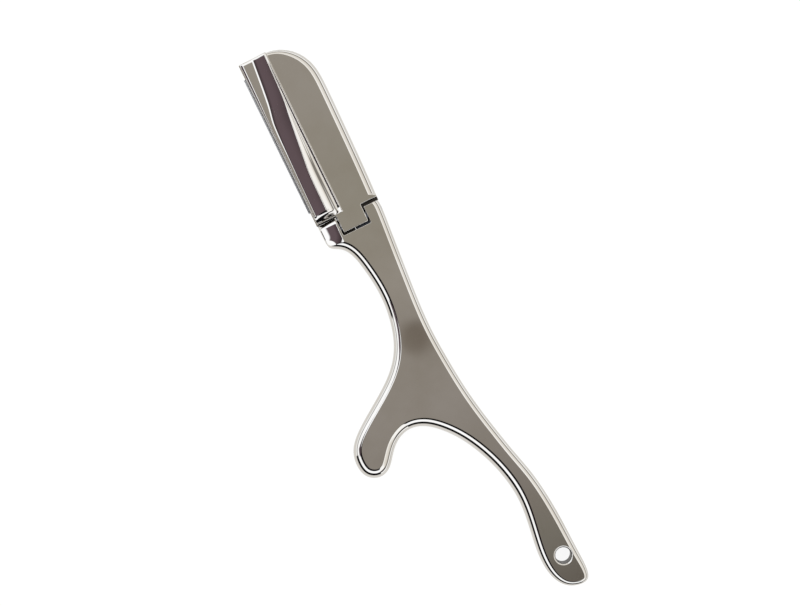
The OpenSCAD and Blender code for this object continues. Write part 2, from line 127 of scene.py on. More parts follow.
def smooth_line(rows: Rows, at: np.ndarray) -> np.ndarray:
    """Reads a monotone cubic curve through rows of (place, value, ...) at the given places.

    Args:
        rows: knots in rising order of their first column.
        at: places to read.

    Returns:
        One row of values for each place.
    """
    knots = np.asarray(rows, float)
    x, y = knots[:, 0], knots[:, 1:]
    slope = np.diff(y, axis=0) / np.diff(x)[:, None]
    tangent = np.vstack([slope[:1], np.zeros_like(slope[1:]), slope[-1:]])
    a, b = slope[:-1], slope[1:]
    same = a * b > 0
    tangent[1:-1] = np.where(same, 2 * a * b / np.where(same, a + b, 1), 0)
    i = np.clip(np.searchsorted(x, at, side="right") - 1, 0, len(x) - 2)
    h = (x[i + 1] - x[i])[:, None]
    t = ((at - x[i]) / h[:, 0])[:, None]
    return (
        y[i] * (2 * t**3 - 3 * t**2 + 1)
        + tangent[i] * h * (t**3 - 2 * t**2 + t)
        + y[i + 1] * (3 * t**2 - 2 * t**3)
        + tangent[i + 1] * h * (t**3 - t**2)
    )


def outward(loop: np.ndarray) -> np.ndarray:
    """Unit normals that point out of a counter-clockwise loop, one row for each point."""
    d = np.roll(loop[:, :2], -1, axis=0) - np.roll(loop[:, :2], 1, axis=0)
    d /= np.linalg.norm(d, axis=1)[:, None]
    return np.column_stack([d[:, 1], -d[:, 0]])


def rounded_corners(corners: Rows, steps: int = 6, spacing: float = 0.8) -> np.ndarray:
    """Turns corners into a closed loop whose corners are arcs.

    Args:
        corners: rows of (x, y, corner radius, edge rounding), counter-clockwise.
        steps: segments of each arc.
        spacing: longest straight segment.

    Returns:
        Rows of (x, y, edge rounding).
    """
    pts = [np.array(c, float) for c in corners]
    loop: list[list[float]] = []
    for i, here in enumerate(pts):
        before, after = pts[i - 1][:2] - here[:2], pts[(i + 1) % len(pts)][:2] - here[:2]
        u, v = before / np.linalg.norm(before), after / np.linalg.norm(after)
        half = math.acos(max(-1.0, min(1.0, float(u @ v)))) / 2
        r = here[2]
        if r > 0 and half < math.pi / 2 - NO_TURN:
            reach = r / math.tan(half)
            a, b = here[:2] + u * reach, here[:2] + v * reach
            centre = here[:2] + (u + v) / np.linalg.norm(u + v) * r / math.sin(half)
            start, end = a - centre, b - centre
            turn = math.atan2(start[0] * end[1] - start[1] * end[0], float(start @ end))
            arc = [centre + rotated(start, turn * k / steps) for k in range(steps + 1)]
        else:
            arc = [here[:2]]
        loop += [[*p, here[3]] for p in arc]
    full: list[list[float]] = []
    for i, p in enumerate(loop):
        q = loop[(i + 1) % len(loop)]
        n = max(1, math.ceil(math.dist(p[:2], q[:2]) / spacing))
        full += [[p[k] + (q[k] - p[k]) * s / n for k in range(3)] for s in range(n)]
    return np.array(full)


def block(x0: float, x1: float, y0: float, y1: float) -> list[list[float]]:
    """Sharp corners of a rectangle, counter-clockwise."""
    return [[x0, y0, 0, 1], [x1, y0, 0, 1], [x1, y1, 0, 1], [x0, y1, 0, 1]]


def rotated(v: np.ndarray, angle: float) -> np.ndarray:
    """The plane vector v turned by angle, in radians."""
    c, s = math.cos(angle), math.sin(angle)
    return np.array([c * v[0] - s * v[1], s * v[0] + c * v[1]])


# Meshes

def solid(name: str, rings: Sequence[np.ndarray]) -> bpy.types.Object:
    """Builds a closed solid from rings of equal length.

    Args:
        name: the object's name.
        rings: closed rings of points from one end to the other, in millimetres.

    Returns:
        The object, still in millimetres.
    """
    n = len(rings[0])
    verts = [tuple(p) for r in rings for p in r]
    faces = [
        (k * n + i, (k + 1) * n + i, (k + 1) * n + (i + 1) % n, k * n + (i + 1) % n)
        for k in range(len(rings) - 1)
        for i in range(n)
    ]
    faces += [tuple(range(n)), tuple((len(rings) - 1) * n + i for i in reversed(range(n)))]
    mesh = bpy.data.meshes.new(name)
    mesh.from_pydata(verts, [], faces)
    bm = bmesh.new()
    bm.from_mesh(mesh)
    bmesh.ops.remove_doubles(bm, verts=bm.verts, dist=SAME_POINT)
    bmesh.ops.recalc_face_normals(bm, faces=bm.faces)
    bm.to_mesh(mesh)
    bm.free()
    made = bpy.data.objects.new(name, mesh)
    bpy.context.scene.collection.objects.link(made)
    return made


def lofted_plate(
    name: str, loop: np.ndarray, z0: float, z1: float, low: float, high: float, steps: int = 10
) -> bpy.types.Object:
    """Builds a plate over a loop with rounded lower and upper edges.

    Args:
        name: the object's name.
        loop: rows of (x, y, share of the rounding), counter-clockwise.
        z0: height of the lower face.
        z1: height of the upper face.
        low: radius of the lower edge at a share of 1.
        high: radius of the upper edge at a share of 1.
        steps: rings in each rounding.

    Returns:
        The plate, in millimetres.
    """
    normals = outward(loop)
    share = loop[:, 2]

    def ring(inset: float, depth: float, z: float) -> np.ndarray:
        """One ring of the plate."""
        xy = loop[:, :2] - normals * (inset * share)[:, None]
        return np.column_stack([xy, z - depth * share])

    angles = [math.pi / 2 * k / steps for k in range(steps + 1)]
    if low > 0:
        rings = [ring(low * (1 - math.cos(a)), -low * (1 - math.sin(a)), z0) for a in reversed(angles)]
    else:
        rings = [ring(0, 0, z0)]
    if high > 0:
        rings += [ring(high * (1 - math.cos(a)), high * (1 - math.sin(a)), z1) for a in angles]
    else:
        rings.append(ring(0, 0, z1))
    return solid(name, rings)


def turned(
    name: str, profile: Rows, place: Sequence[float], axis: Axis = Axis.Z, sides: int = 64
) -> bpy.types.Object:
    """Turns a profile into a solid.

    Args:
        name: the object's name.
        profile: rows of (radius, height along the axis), from one end to the other.
        place: where the axis starts.
        axis: the axis that it stands on.
        sides: facets around the axis.

    Returns:
        The solid, in millimetres.
    """
    rings = []
    for r, h in profile:
        a = np.linspace(0, 2 * math.pi, sides, endpoint=False)
        c, s = r * np.cos(a), r * np.sin(a)
        level = np.full(sides, float(h))
        ring = [c, s, level] if axis is Axis.Z else [level, c, s]
        rings.append(np.column_stack(ring) + np.array(place, float))
    return solid(name, rings)


def flared_cut(
    name: str, corners: Rows, bottom: float, top: float, rim: float, side: Side = Side.FRONT
) -> bpy.types.Object:
    """Builds a cutter with straight walls whose mouth widens, so that it leaves a rounded edge.

    Args:
        name: the object's name.
        corners: rows of (x, y, corner radius, unused), counter-clockwise.
        bottom: height where the cut ends inside the plate.
        top: height of the face that it opens.
        rim: radius of the rounded edge.
        side: which face it opens.

    Returns:
        The cutter, in millimetres.
    """
    loop = rounded_corners(corners)
    normals = outward(loop)
    up = side.value
    # The flare stops just short of lying flat. The mouth then stands a little wider than the rim.
    flare = np.linspace(0, 1.45, 7)
    mouth, lift, above = rim * 1.15, rim * 0.02, 2.0
    levels = [(0.0, bottom)]
    levels += [(rim * (1 - math.cos(a)), top - up * rim * (1 - math.sin(a))) for a in flare]
    levels += [(mouth, top + up * lift), (mouth, top + up * above)]
    rings = [np.column_stack([loop[:, :2] + normals * out, np.full(len(loop), z)]) for out, z in levels]
    return solid(name, rings)


def combine(base: bpy.types.Object, how: Boolean, tools: Sequence[bpy.types.Object]) -> None:
    """Applies exact booleans one after the other and removes the tools.

    Args:
        base: the object that is changed.
        how: whether the tools are cut away, are joined on, or keep only what they share with it.
        tools: the other solids.
    """
    for tool in tools:
        step = base.modifiers.new("step", "BOOLEAN")
        step.operation, step.solver, step.object = how.value, "EXACT", tool
        graph = bpy.context.evaluated_depsgraph_get()
        mesh = bpy.data.meshes.new_from_object(base.evaluated_get(graph))
        base.modifiers.clear()
        base.data = mesh
        bpy.data.objects.remove(tool)


def finished(
    made: bpy.types.Object, finish: bpy.types.Material, body: Body, node: str
) -> bpy.types.Object:
    """Turns a solid into a piece of the model: metres, smooth normals, material, body and node.

    Args:
        made: the object in millimetres.
        finish: its material.
        body: the body that it rides on.
        node: the CAD node that it stands for.

    Returns:
        The finished piece.
    """
    bm = bmesh.new()
    bm.from_mesh(made.data)
    bmesh.ops.remove_doubles(bm, verts=bm.verts, dist=MERGE_GAP)
    bmesh.ops.dissolve_degenerate(bm, edges=bm.edges, dist=SLIVER)
    for f in bm.faces:
        f.smooth = True
    for e in bm.edges:
        e.smooth = len(e.link_faces) == 2 and e.calc_face_angle(0) < SMOOTH_ANGLE
    bm.to_mesh(made.data)
    bm.free()
    made.data.transform(Matrix.Scale(MM, 4))
    weigh = made.modifiers.new("weigh", "WEIGHTED_NORMAL")
    weigh.mode, weigh.weight, weigh.keep_sharp = "FACE_AREA", 50, True
    graph = bpy.context.evaluated_depsgraph_get()
    mesh = bpy.data.meshes.new_from_object(
        made.evaluated_get(graph), preserve_all_data_layers=True, depsgraph=graph
    )
    made.modifiers.clear()
    made.data = mesh
    mesh.materials.clear()
    mesh.materials.append(finish)
    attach(made, body.value)
    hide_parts(node)
    LOG.info("%s: %d faces", made.name, len(mesh.polygons))
    return made


def second_finish(
    made: bpy.types.Object, finish: bpy.types.Material, chosen: Callable[[Vector, Vector], bool]
) -> None:
    """Gives some faces of a finished piece a second finish.

    Args:
        made: the piece.
        finish: the second material.
        chosen: says of a face's centre in millimetres and its normal whether it gets it.
    """
    made.data.materials.append(finish)
    for face in made.data.polygons:
        if chosen(face.center / MM, face.normal):
            face.material_index = 1


# Materials

def linear(colour: str) -> Colour:
    """Turns an sRGB hex colour into linear RGBA."""
    parts = [int(colour[i : i + 2], 16) / 255 for i in (1, 3, 5)]
    rgb = [c / 12.92 if c <= 0.04045 else ((c + 0.055) / 1.055) ** 2.4 for c in parts]
    return (rgb[0], rgb[1], rgb[2], 1.0)


def add_node(
    tree: bpy.types.NodeTree, kind: str, settings: dict | None = None, inputs: dict | None = None
) -> bpy.types.Node:
    """Adds a node with its settings, its values and its links.

    Args:
        tree: the node tree.
        kind: the node's type name.
        settings: properties of the node.
        inputs: values or source sockets by input name or number.

    Returns:
        The node.
    """
    node = tree.nodes.new(kind)
    for name, value in (settings or {}).items():
        setattr(node, name, value)
    for name, value in (inputs or {}).items():
        socket = node.inputs[name]
        if isinstance(value, bpy.types.NodeSocket):
            tree.links.new(value, socket)
        else:
            socket.default_value = value
    return node


def set_ramp(node: bpy.types.Node, stops: Sequence[tuple[float, Colour]]) -> None:
    """Gives a colour ramp its stops, each a place and a linear colour."""
    ramp = node.color_ramp
    while len(ramp.elements) > 1:
        ramp.elements.remove(ramp.elements[-1])
    ramp.elements[0].position, ramp.elements[0].color = stops[0]
    for place, colour in stops[1:]:
        made = ramp.elements.new(place)
        made.color = colour


@dataclass(frozen=True)
class Metal:
    """A bare or plated metal surface with the marks of how it was made.

    Attributes:
        name: the material's name.
        colour: face-on reflection colour.
        worn: colour of the slightly duller patches.
        roughness: lowest and highest roughness.
        wave_mm: size of the soft waves left by polishing or casting.
        wave_depth: height of those waves in millimetres.
        grain_mm: width of the brush or grinding lines.
        grain_depth: height of those lines in millimetres.
        grain_along: stretch of the lines along X, Y and Z.
        anisotropy: how far the gloss is drawn out.
        haze_mm: size of the patches where the gloss is slightly duller.
    """

    name: str
    colour: str
    worn: str
    roughness: tuple[float, float]
    wave_mm: float
    wave_depth: float
    grain_mm: float
    grain_depth: float
    grain_along: tuple[float, float, float] = (1.0, 1.0, 1.0)
    anisotropy: float = 0.0
    haze_mm: float = 9.0

    def build(self) -> bpy.types.Material:
        """Makes the node material."""
        made = bpy.data.materials.new(self.name)
        made.use_nodes = True
        tree = made.node_tree
        tree.nodes.clear()
        place = add_node(tree, "ShaderNodeTexCoord").outputs["Object"]
        per_m = 1 / MM
        wave = add_node(
            tree,
            "ShaderNodeTexNoise",
            inputs={"Vector": place, "Scale": per_m / self.wave_mm, "Detail": 1.5},
        )
        stretch = tuple(1 / s for s in self.grain_along)
        drawn = add_node(tree, "ShaderNodeMapping", inputs={"Vector": place, "Scale": stretch})
        grain = add_node(
            tree,
            "ShaderNodeTexNoise",
            inputs={
                "Vector": drawn.outputs[0],
                "Scale": per_m / self.grain_mm,
                "Detail": 3.0,
                "Roughness": 0.6,
            },
        )
        haze = add_node(
            tree,
            "ShaderNodeTexNoise",
            inputs={"Vector": place, "Scale": per_m / self.haze_mm, "Detail": 4.0},
        )
        haze_share = add_node(
            tree, "ShaderNodeMapRange", inputs={"Value": haze.outputs[0], "From Min": 0.35, "From Max": 0.7}
        )
        tint = add_node(
            tree,
            "ShaderNodeMix",
            {"data_type": "RGBA"},
            {"Factor": haze_share.outputs[0], 6: linear(self.colour), 7: linear(self.worn)},
        )
        colour = self.marked(tree, place, tint.outputs[2])
        gloss_share = add_node(
            tree,
            "ShaderNodeMath",
            {"operation": "MULTIPLY"},
            {0: haze_share.outputs[0], 1: grain.outputs[0]},
        )
        smoothest, dullest = self.roughness
        gloss = add_node(
            tree,
            "ShaderNodeMapRange",
            inputs={"Value": gloss_share.outputs[0], "To Min": smoothest, "To Max": dullest},
        )
        waves = add_node(
            tree,
            "ShaderNodeBump",
            inputs={"Strength": 1.0, "Distance": self.wave_depth * MM, "Height": wave.outputs[0]},
        )
        lines = add_node(
            tree,
            "ShaderNodeBump",
            inputs={
                "Strength": 1.0,
                "Distance": self.grain_depth * MM,
                "Height": grain.outputs[0],
                "Normal": waves.outputs[0],
            },
        )
        shader = add_node(
            tree,
            "ShaderNodeBsdfPrincipled",
            inputs={
                "Base Color": colour,
                "Metallic": 1.0,
                "Roughness": gloss.outputs[0],
                "Normal": lines.outputs[0],
                "Anisotropic": self.anisotropy,
            },
        )
        add_node(tree, "ShaderNodeOutputMaterial", inputs={"Surface": shader.outputs[0]})
        return made

    def marked(
        self, tree: bpy.types.NodeTree, place: bpy.types.NodeSocket, colour: bpy.types.NodeSocket
    ) -> bpy.types.NodeSocket:
        """The surface's colour, which a subclass that paints a line on it changes."""
        return colour


@dataclass(frozen=True)
class BladeSteelWithShadeLine(Metal):
    """Blade steel with a painted dark line just outside the jaws' lips, standing in for the shade there.

    Attributes:
        line_x: the line's place across, in millimetres.
        line_w: the line's width in millimetres.
        line: its colour.
        core: share of the width over which it is darkest on either side of its middle.
        fade: the same share where it ends.
    """

    # Place, width and colour of the painted shade line.
    line_x: float = -19.43
    line_w: float = 0.11
    line: str = "#3c3a39"
    core: float = 0.35
    fade: float = 0.7

    def marked(
        self, tree: bpy.types.NodeTree, place: bpy.types.NodeSocket, colour: bpy.types.NodeSocket
    ) -> bpy.types.NodeSocket:
        """The steel's colour with the painted shade line."""
        x = add_node(tree, "ShaderNodeSeparateXYZ", inputs={"Vector": place}).outputs["X"]
        off = add_node(tree, "ShaderNodeMath", {"operation": "SUBTRACT"}, {0: x, 1: self.line_x * MM})
        near = add_node(tree, "ShaderNodeMath", {"operation": "ABSOLUTE"}, {0: off.outputs[0]})
        share = add_node(
            tree,
            "ShaderNodeMapRange",
            {"interpolation_type": "SMOOTHSTEP"},
            {
                "Value": near.outputs[0],
                "From Min": self.line_w * self.core * MM,
                "From Max": self.line_w * self.fade * MM,
            },
        )
        mixed = add_node(
            tree,
            "ShaderNodeMix",
            {"data_type": "RGBA"},
            {"Factor": share.outputs[0], 6: linear(self.line), 7: colour},
        )
        return mixed.outputs[2]


# Bright nickel and chrome over a polished zinc casting: a warm grey mirror, with soft waves of the
# polishing wheel and a faint haze of fine hairlines.
PLATED_CASTING = Metal(
    "nickel_chrome_plated_zinc_casting", colour="#cfcbc5", worn="#c8c3bb", roughness=(0.02, 0.07),
    wave_mm=7.0, wave_depth=0.0025, grain_mm=0.12, grain_depth=0.00005,
)
# The same plating on pressed plate, a little flatter.
PLATED_PLATE = Metal(
    "nickel_chrome_plated_zinc_plate", colour="#cfcbc5", worn="#c9c4bc", roughness=(0.02, 0.07),
    wave_mm=9.0, wave_depth=0.002, grain_mm=0.12, grain_depth=0.00005,
)
# Painted shade: the walls inside narrow gaps and bores get this dark, dull material, which stands in for
# the shade there. The plating in them is also thinner and duller.
GAP_SHADE_PLATING = Metal(
    "dull_plating_painted_dark_for_gap_shade", colour="#4d4842", worn="#3d3935", roughness=(0.4, 0.6),
    wave_mm=4.0, wave_depth=0.002, grain_mm=0.15, grain_depth=0.001,
)
# Cold-rolled stainless strip: a cool satin sheen with rolling lines along its length, and a narrow line of
# painted shade just outside the jaws' lips.
GROUND_BLADE = BladeSteelWithShadeLine(
    "cold_rolled_stainless_blade", colour="#c6c5c3", worn="#bab8b5", roughness=(0.16, 0.3),
    wave_mm=12.0, wave_depth=0.0015, grain_mm=0.09, grain_depth=0.0006,
    grain_along=(1.0, 30.0, 1.0), anisotropy=0.4,
)
# Ground steel rod of the hinge pin, with fine rings of the grinding.
GROUND_ROD = Metal(
    "centreless_ground_steel_rod", colour="#b9b9bb", worn="#a9a9ac", roughness=(0.15, 0.3),
    wave_mm=6.0, wave_depth=0.0008, grain_mm=0.08, grain_depth=0.0008,
    grain_along=(1.0, 8.0, 8.0), anisotropy=0.2,
)
# Stamped spring-steel shim, blackened in oil: near black with a dull satin sheen.
STAMPED_SHIM = Metal(
    "oil_blackened_spring_steel_shim", colour="#4c4c4f", worn="#3c3c3f", roughness=(0.25, 0.42),
    wave_mm=3.0, wave_depth=0.002, grain_mm=0.12, grain_depth=0.0015,
)
# Blue-tempered spring strip: a dark blue-grey oxide with drawing lines.
SPRING_STRIP = Metal(
    "blue_tempered_spring_steel_strip", colour="#4d5057", worn="#3f4148", roughness=(0.18, 0.34),
    wave_mm=5.0, wave_depth=0.0015, grain_mm=0.08, grain_depth=0.0012,
    grain_along=(1.0, 25.0, 1.0), anisotropy=0.3,
)
# Cold-headed screw with bright zinc plating.
ZINC_SCREW = Metal(
    "bright_zinc_plated_screw_steel", colour="#c4c6c8", worn="#b0b2b2", roughness=(0.16, 0.32),
    wave_mm=2.0, wave_depth=0.003, grain_mm=0.1, grain_depth=0.0015,
)
# Turned stainless stud, with fine rings of the lathe tool.
TURNED_STUD = Metal(
    "turned_stainless_stud", colour="#c6c6c8", worn="#b6b6b9", roughness=(0.12, 0.26),
    wave_mm=3.0, wave_depth=0.001, grain_mm=0.07, grain_depth=0.001,
    grain_along=(6.0, 6.0, 1.0), anisotropy=0.3,
)


# Pieces

# Outline of the handle and of the head, counter-clockwise. Each row of the first is a place along the
# handle and a share of the edge rounding. The others are a place across, a place along and that share.
# Across is in neck widths from the neck's centre line (in hook lengths, leftwards, for the hook, and in
# tail widths from the hole for the tail) and along is in handle lengths. The head's rows are in head
# widths from its spine and in head lengths from its shoulder.
ARM_SHARES = [[1.03, 1], [0.997, 1], [0.969, 1], [0.943, 1]]
LEFT_NECK_SHARES = [
    [-0.988, 0.934, 1.05], [-0.79, 0.92, 1.1], [-0.647, 0.892, 1.1], [-0.56, 0.852, 1.1],
    [-0.488, 0.808, 1.1], [-0.476, 0.763, 1.08], [-0.535, 0.718, 1.04], [-0.67, 0.673, 1],
]
HOOK_SHARES = [
    [0.275, 0.63, 1], [0.402, 0.59, 1], [0.581, 0.554, 1], [0.766, 0.52, 1], [0.904, 0.491, 1],
    [0.987, 0.462, 1.08], [1.013, 0.425, 1.2], [0.986, 0.389, 1.2], [0.871, 0.37, 1.2],
    [0.754, 0.379, 1.08], [0.675, 0.41, 1], [0.582, 0.439, 1], [0.443, 0.454, 1.1], [0.3, 0.443, 1.2],
    [0.171, 0.412, 1.2], [0.05, 0.369, 1.2], [-0.043, 0.319, 1.2],
]
TAIL_SHARES = [
    [-0.591, 0.269, 1.2], [-0.452, 0.214, 1.2], [-0.409, 0.165, 1.1], [-0.462, 0.115, 1.05],
    [-0.548, 0.065, 1], [-0.613, 0.02, 1], [-0.581, -0.032, 0.9], [-0.344, -0.073, 0.7],
    [0.04, -0.086, 0.5], [0.355, -0.085, 0.5], [0.435, -0.055, 0.6], [0.412, -0.01, 0.75],
    [0.4, 0.04, 0.8], [0.38, 0.095, 0.8], [0.328, 0.155, 0.8], [0.231, 0.219, 0.8],
]
SPINE_SHARES = [
    [1.03, 0.289, 0.8], [0.847, 0.359, 0.8], [0.671, 0.429, 0.8], [0.553, 0.499, 0.8],
    [0.485, 0.568, 0.8], [0.43, 0.638, 0.8], [0.446, 0.708, 0.8], [0.51, 0.778, 0.8],
    [0.575, 0.847, 0.8], [0.64, 0.912, 0.8], [0.705, 0.972, 0.8], [0.725, 1.037, 0.8],
]
HEAD_SHARES = [
    [-0.06, -0.25, 1], [-0.045, -0.1, 1], [-0.028, 0.04, 1], [-0.012, 0.2, 1], [-0.002, 0.36, 1],
    [0.005, 0.52, 1], [0.012, 0.67, 1], [0.009, 0.787, 1], [-0.053, 0.872, 1], [-0.199, 0.946, 0.85],
    [-0.421, 0.996, 0.5], [-0.673, 1.003, 0.4], [-0.936, 1, 0.4], [-1.3, 1, 0.4], [-1.5, 0.9, 0.4],
    [-1.5, 0.4, 0.4], [-1.5, -0.1, 0.4], [-1.3, -0.3, 0.4], [-0.6, -0.35, 0.4],
]

# Guard rib: places along the head, and at each the shares of its width and of its height. The columns
# are the lip, its shoulder, the crease, the crest, two down its flank, the valley, the bead and its foot.
RIB_SHARES = [
    [0.063, [0, 0.021, 0.1, 0.51, 0.68, 0.84, 0.88, 0.96, 1],
     [0.5, 0.55, 0.56, 0.98, 0.92, 0.45, 0.4, 0.45, 0]],
    [0.243, [0, 0.021, 0.12, 0.52, 0.68, 0.84, 0.88, 0.96, 1],
     [0.45, 0.495, 0.505, 0.965, 0.905, 0.46, 0.41, 0.46, 0]],
    [0.422, [0, 0.021, 0.15, 0.63, 0.75, 0.845, 0.88, 0.96, 1],
     [0.34, 0.385, 0.395, 0.91, 0.87, 0.57, 0.53, 0.58, 0]],
    [0.602, [0, 0.021, 0.2, 0.767, 0.82, 0.86, 0.885, 0.955, 1],
     [0.22, 0.255, 0.265, 0.835, 0.815, 0.69, 0.67, 0.715, 0]],
    [0.737, [0, 0.021, 0.35, 0.87, 0.88, 0.89, 0.9, 0.955, 1],
     [0.17, 0.205, 0.215, 0.765, 0.758, 0.745, 0.735, 0.77, 0]],
    [1, [0, 0.021, 0.53, 0.925, 0.932, 0.938, 0.944, 0.96, 1],
     [0.14, 0.177, 0.187, 0.645, 0.64, 0.636, 0.632, 0.637, 0]],
]
# Half width of the bend in the rib's crease along the head, as a share of the rib's width.
RIB_CREASE_SHARES = [[0.063, 0.02], [0.35, 0.03], [0.6, 0.08], [0.8, 0.11], [1, 0.11]]


@dataclass
class Layout:
    """Sizes and places that several pieces share, as in the part's source."""

    handle_l: float = 100.3
    handle_t: float = 5.0
    neck_x: float = -8.6
    neck_w: float = 8.5
    lip_x: float = -19.1
    spine_x: float = -2.0
    head_w: float = 17.1
    head_l: float = 44.5
    hinge_y: float = 98.2
    hinge_z: float = 3.4
    shoulder_y: float = 101.2
    arm_x: float = -19.275
    left_end_y: float = 100.9
    recess_x: float = -14.35
    recess_z: float = 1.7
    tongue_x: float = -10.55
    tongue_w: float = 6.8
    recess_w: float = 7.6
    end_gap: float = 0.65
    knuckle_r: float = 1.6
    pin_r: float = 0.7
    jaw_z: float = 2.54
    rear_t: float = 2.4
    blade_z: float = 2.42
    blade_t: float = 0.1
    stud_rise: float = 0.6
    tang_w: float = 4.4
    tang_l: float = 17.2
    tang_t: float = 1.38
    pocket_t: float = 1.8
    fit_gap: float = 0.1
    screw_ys: tuple[float, float] = (84.1, 91.1)
    screw_r: float = 1.0
    screw_head_r: float = 1.8
    screw_head_h: float = 0.8
    blade_y: float = 123.45
    blade_back_x: float = -8.85
    notch_w: float = 2.7
    stud_pitch: float = 13.0
    middle_stud_r: float = 2.4
    outer_stud_r: float = 1.9
    press: float = 0.01
    pin_seat: float = 3.0
    pin_past: float = 3.0

    def stud(self, k: int) -> tuple[float, float, float]:
        """Place and radius of a stud: k is -1 at the heel, 0 in the middle and 1 at the tip."""
        r = self.middle_stud_r if k == 0 else self.outer_stud_r
        x = self.blade_back_x - self.notch_w + self.fit_gap / 2 + r
        return x, self.blade_y + k * self.stud_pitch, r

    def head_outline(self) -> np.ndarray:
        """The head's outline, which both jaws share."""
        rows = [
            [self.spine_x + x * self.head_w, self.shoulder_y + y * self.head_l, r]
            for x, y, r in HEAD_SHARES
        ]
        return spline_loop(np.array(rows), SPLINE_STEPS)

    def on_hinge(self, name: str, r: float, x0: float, x1: float, sides: int = 64) -> bpy.types.Object:
        """A cylinder on the hinge's axis from x0 to x1."""
        return turned(name, [(r, x0), (r, x1)], (0, self.hinge_y, self.hinge_z), Axis.X, sides)

    def bar(self, y0: float, y1: float, width: float) -> list[list[float]]:
        """Corners of a bar along Y on the neck's centre line whose lower end is round."""
        x0, x1, r = self.neck_x - width / 2, self.neck_x + width / 2, width / 2 - ARC_GAP
        return [[x0, y1, 0, 1], [x0, y0, r, 1], [x1, y0, r, 1], [x1, y1, 0, 1]]


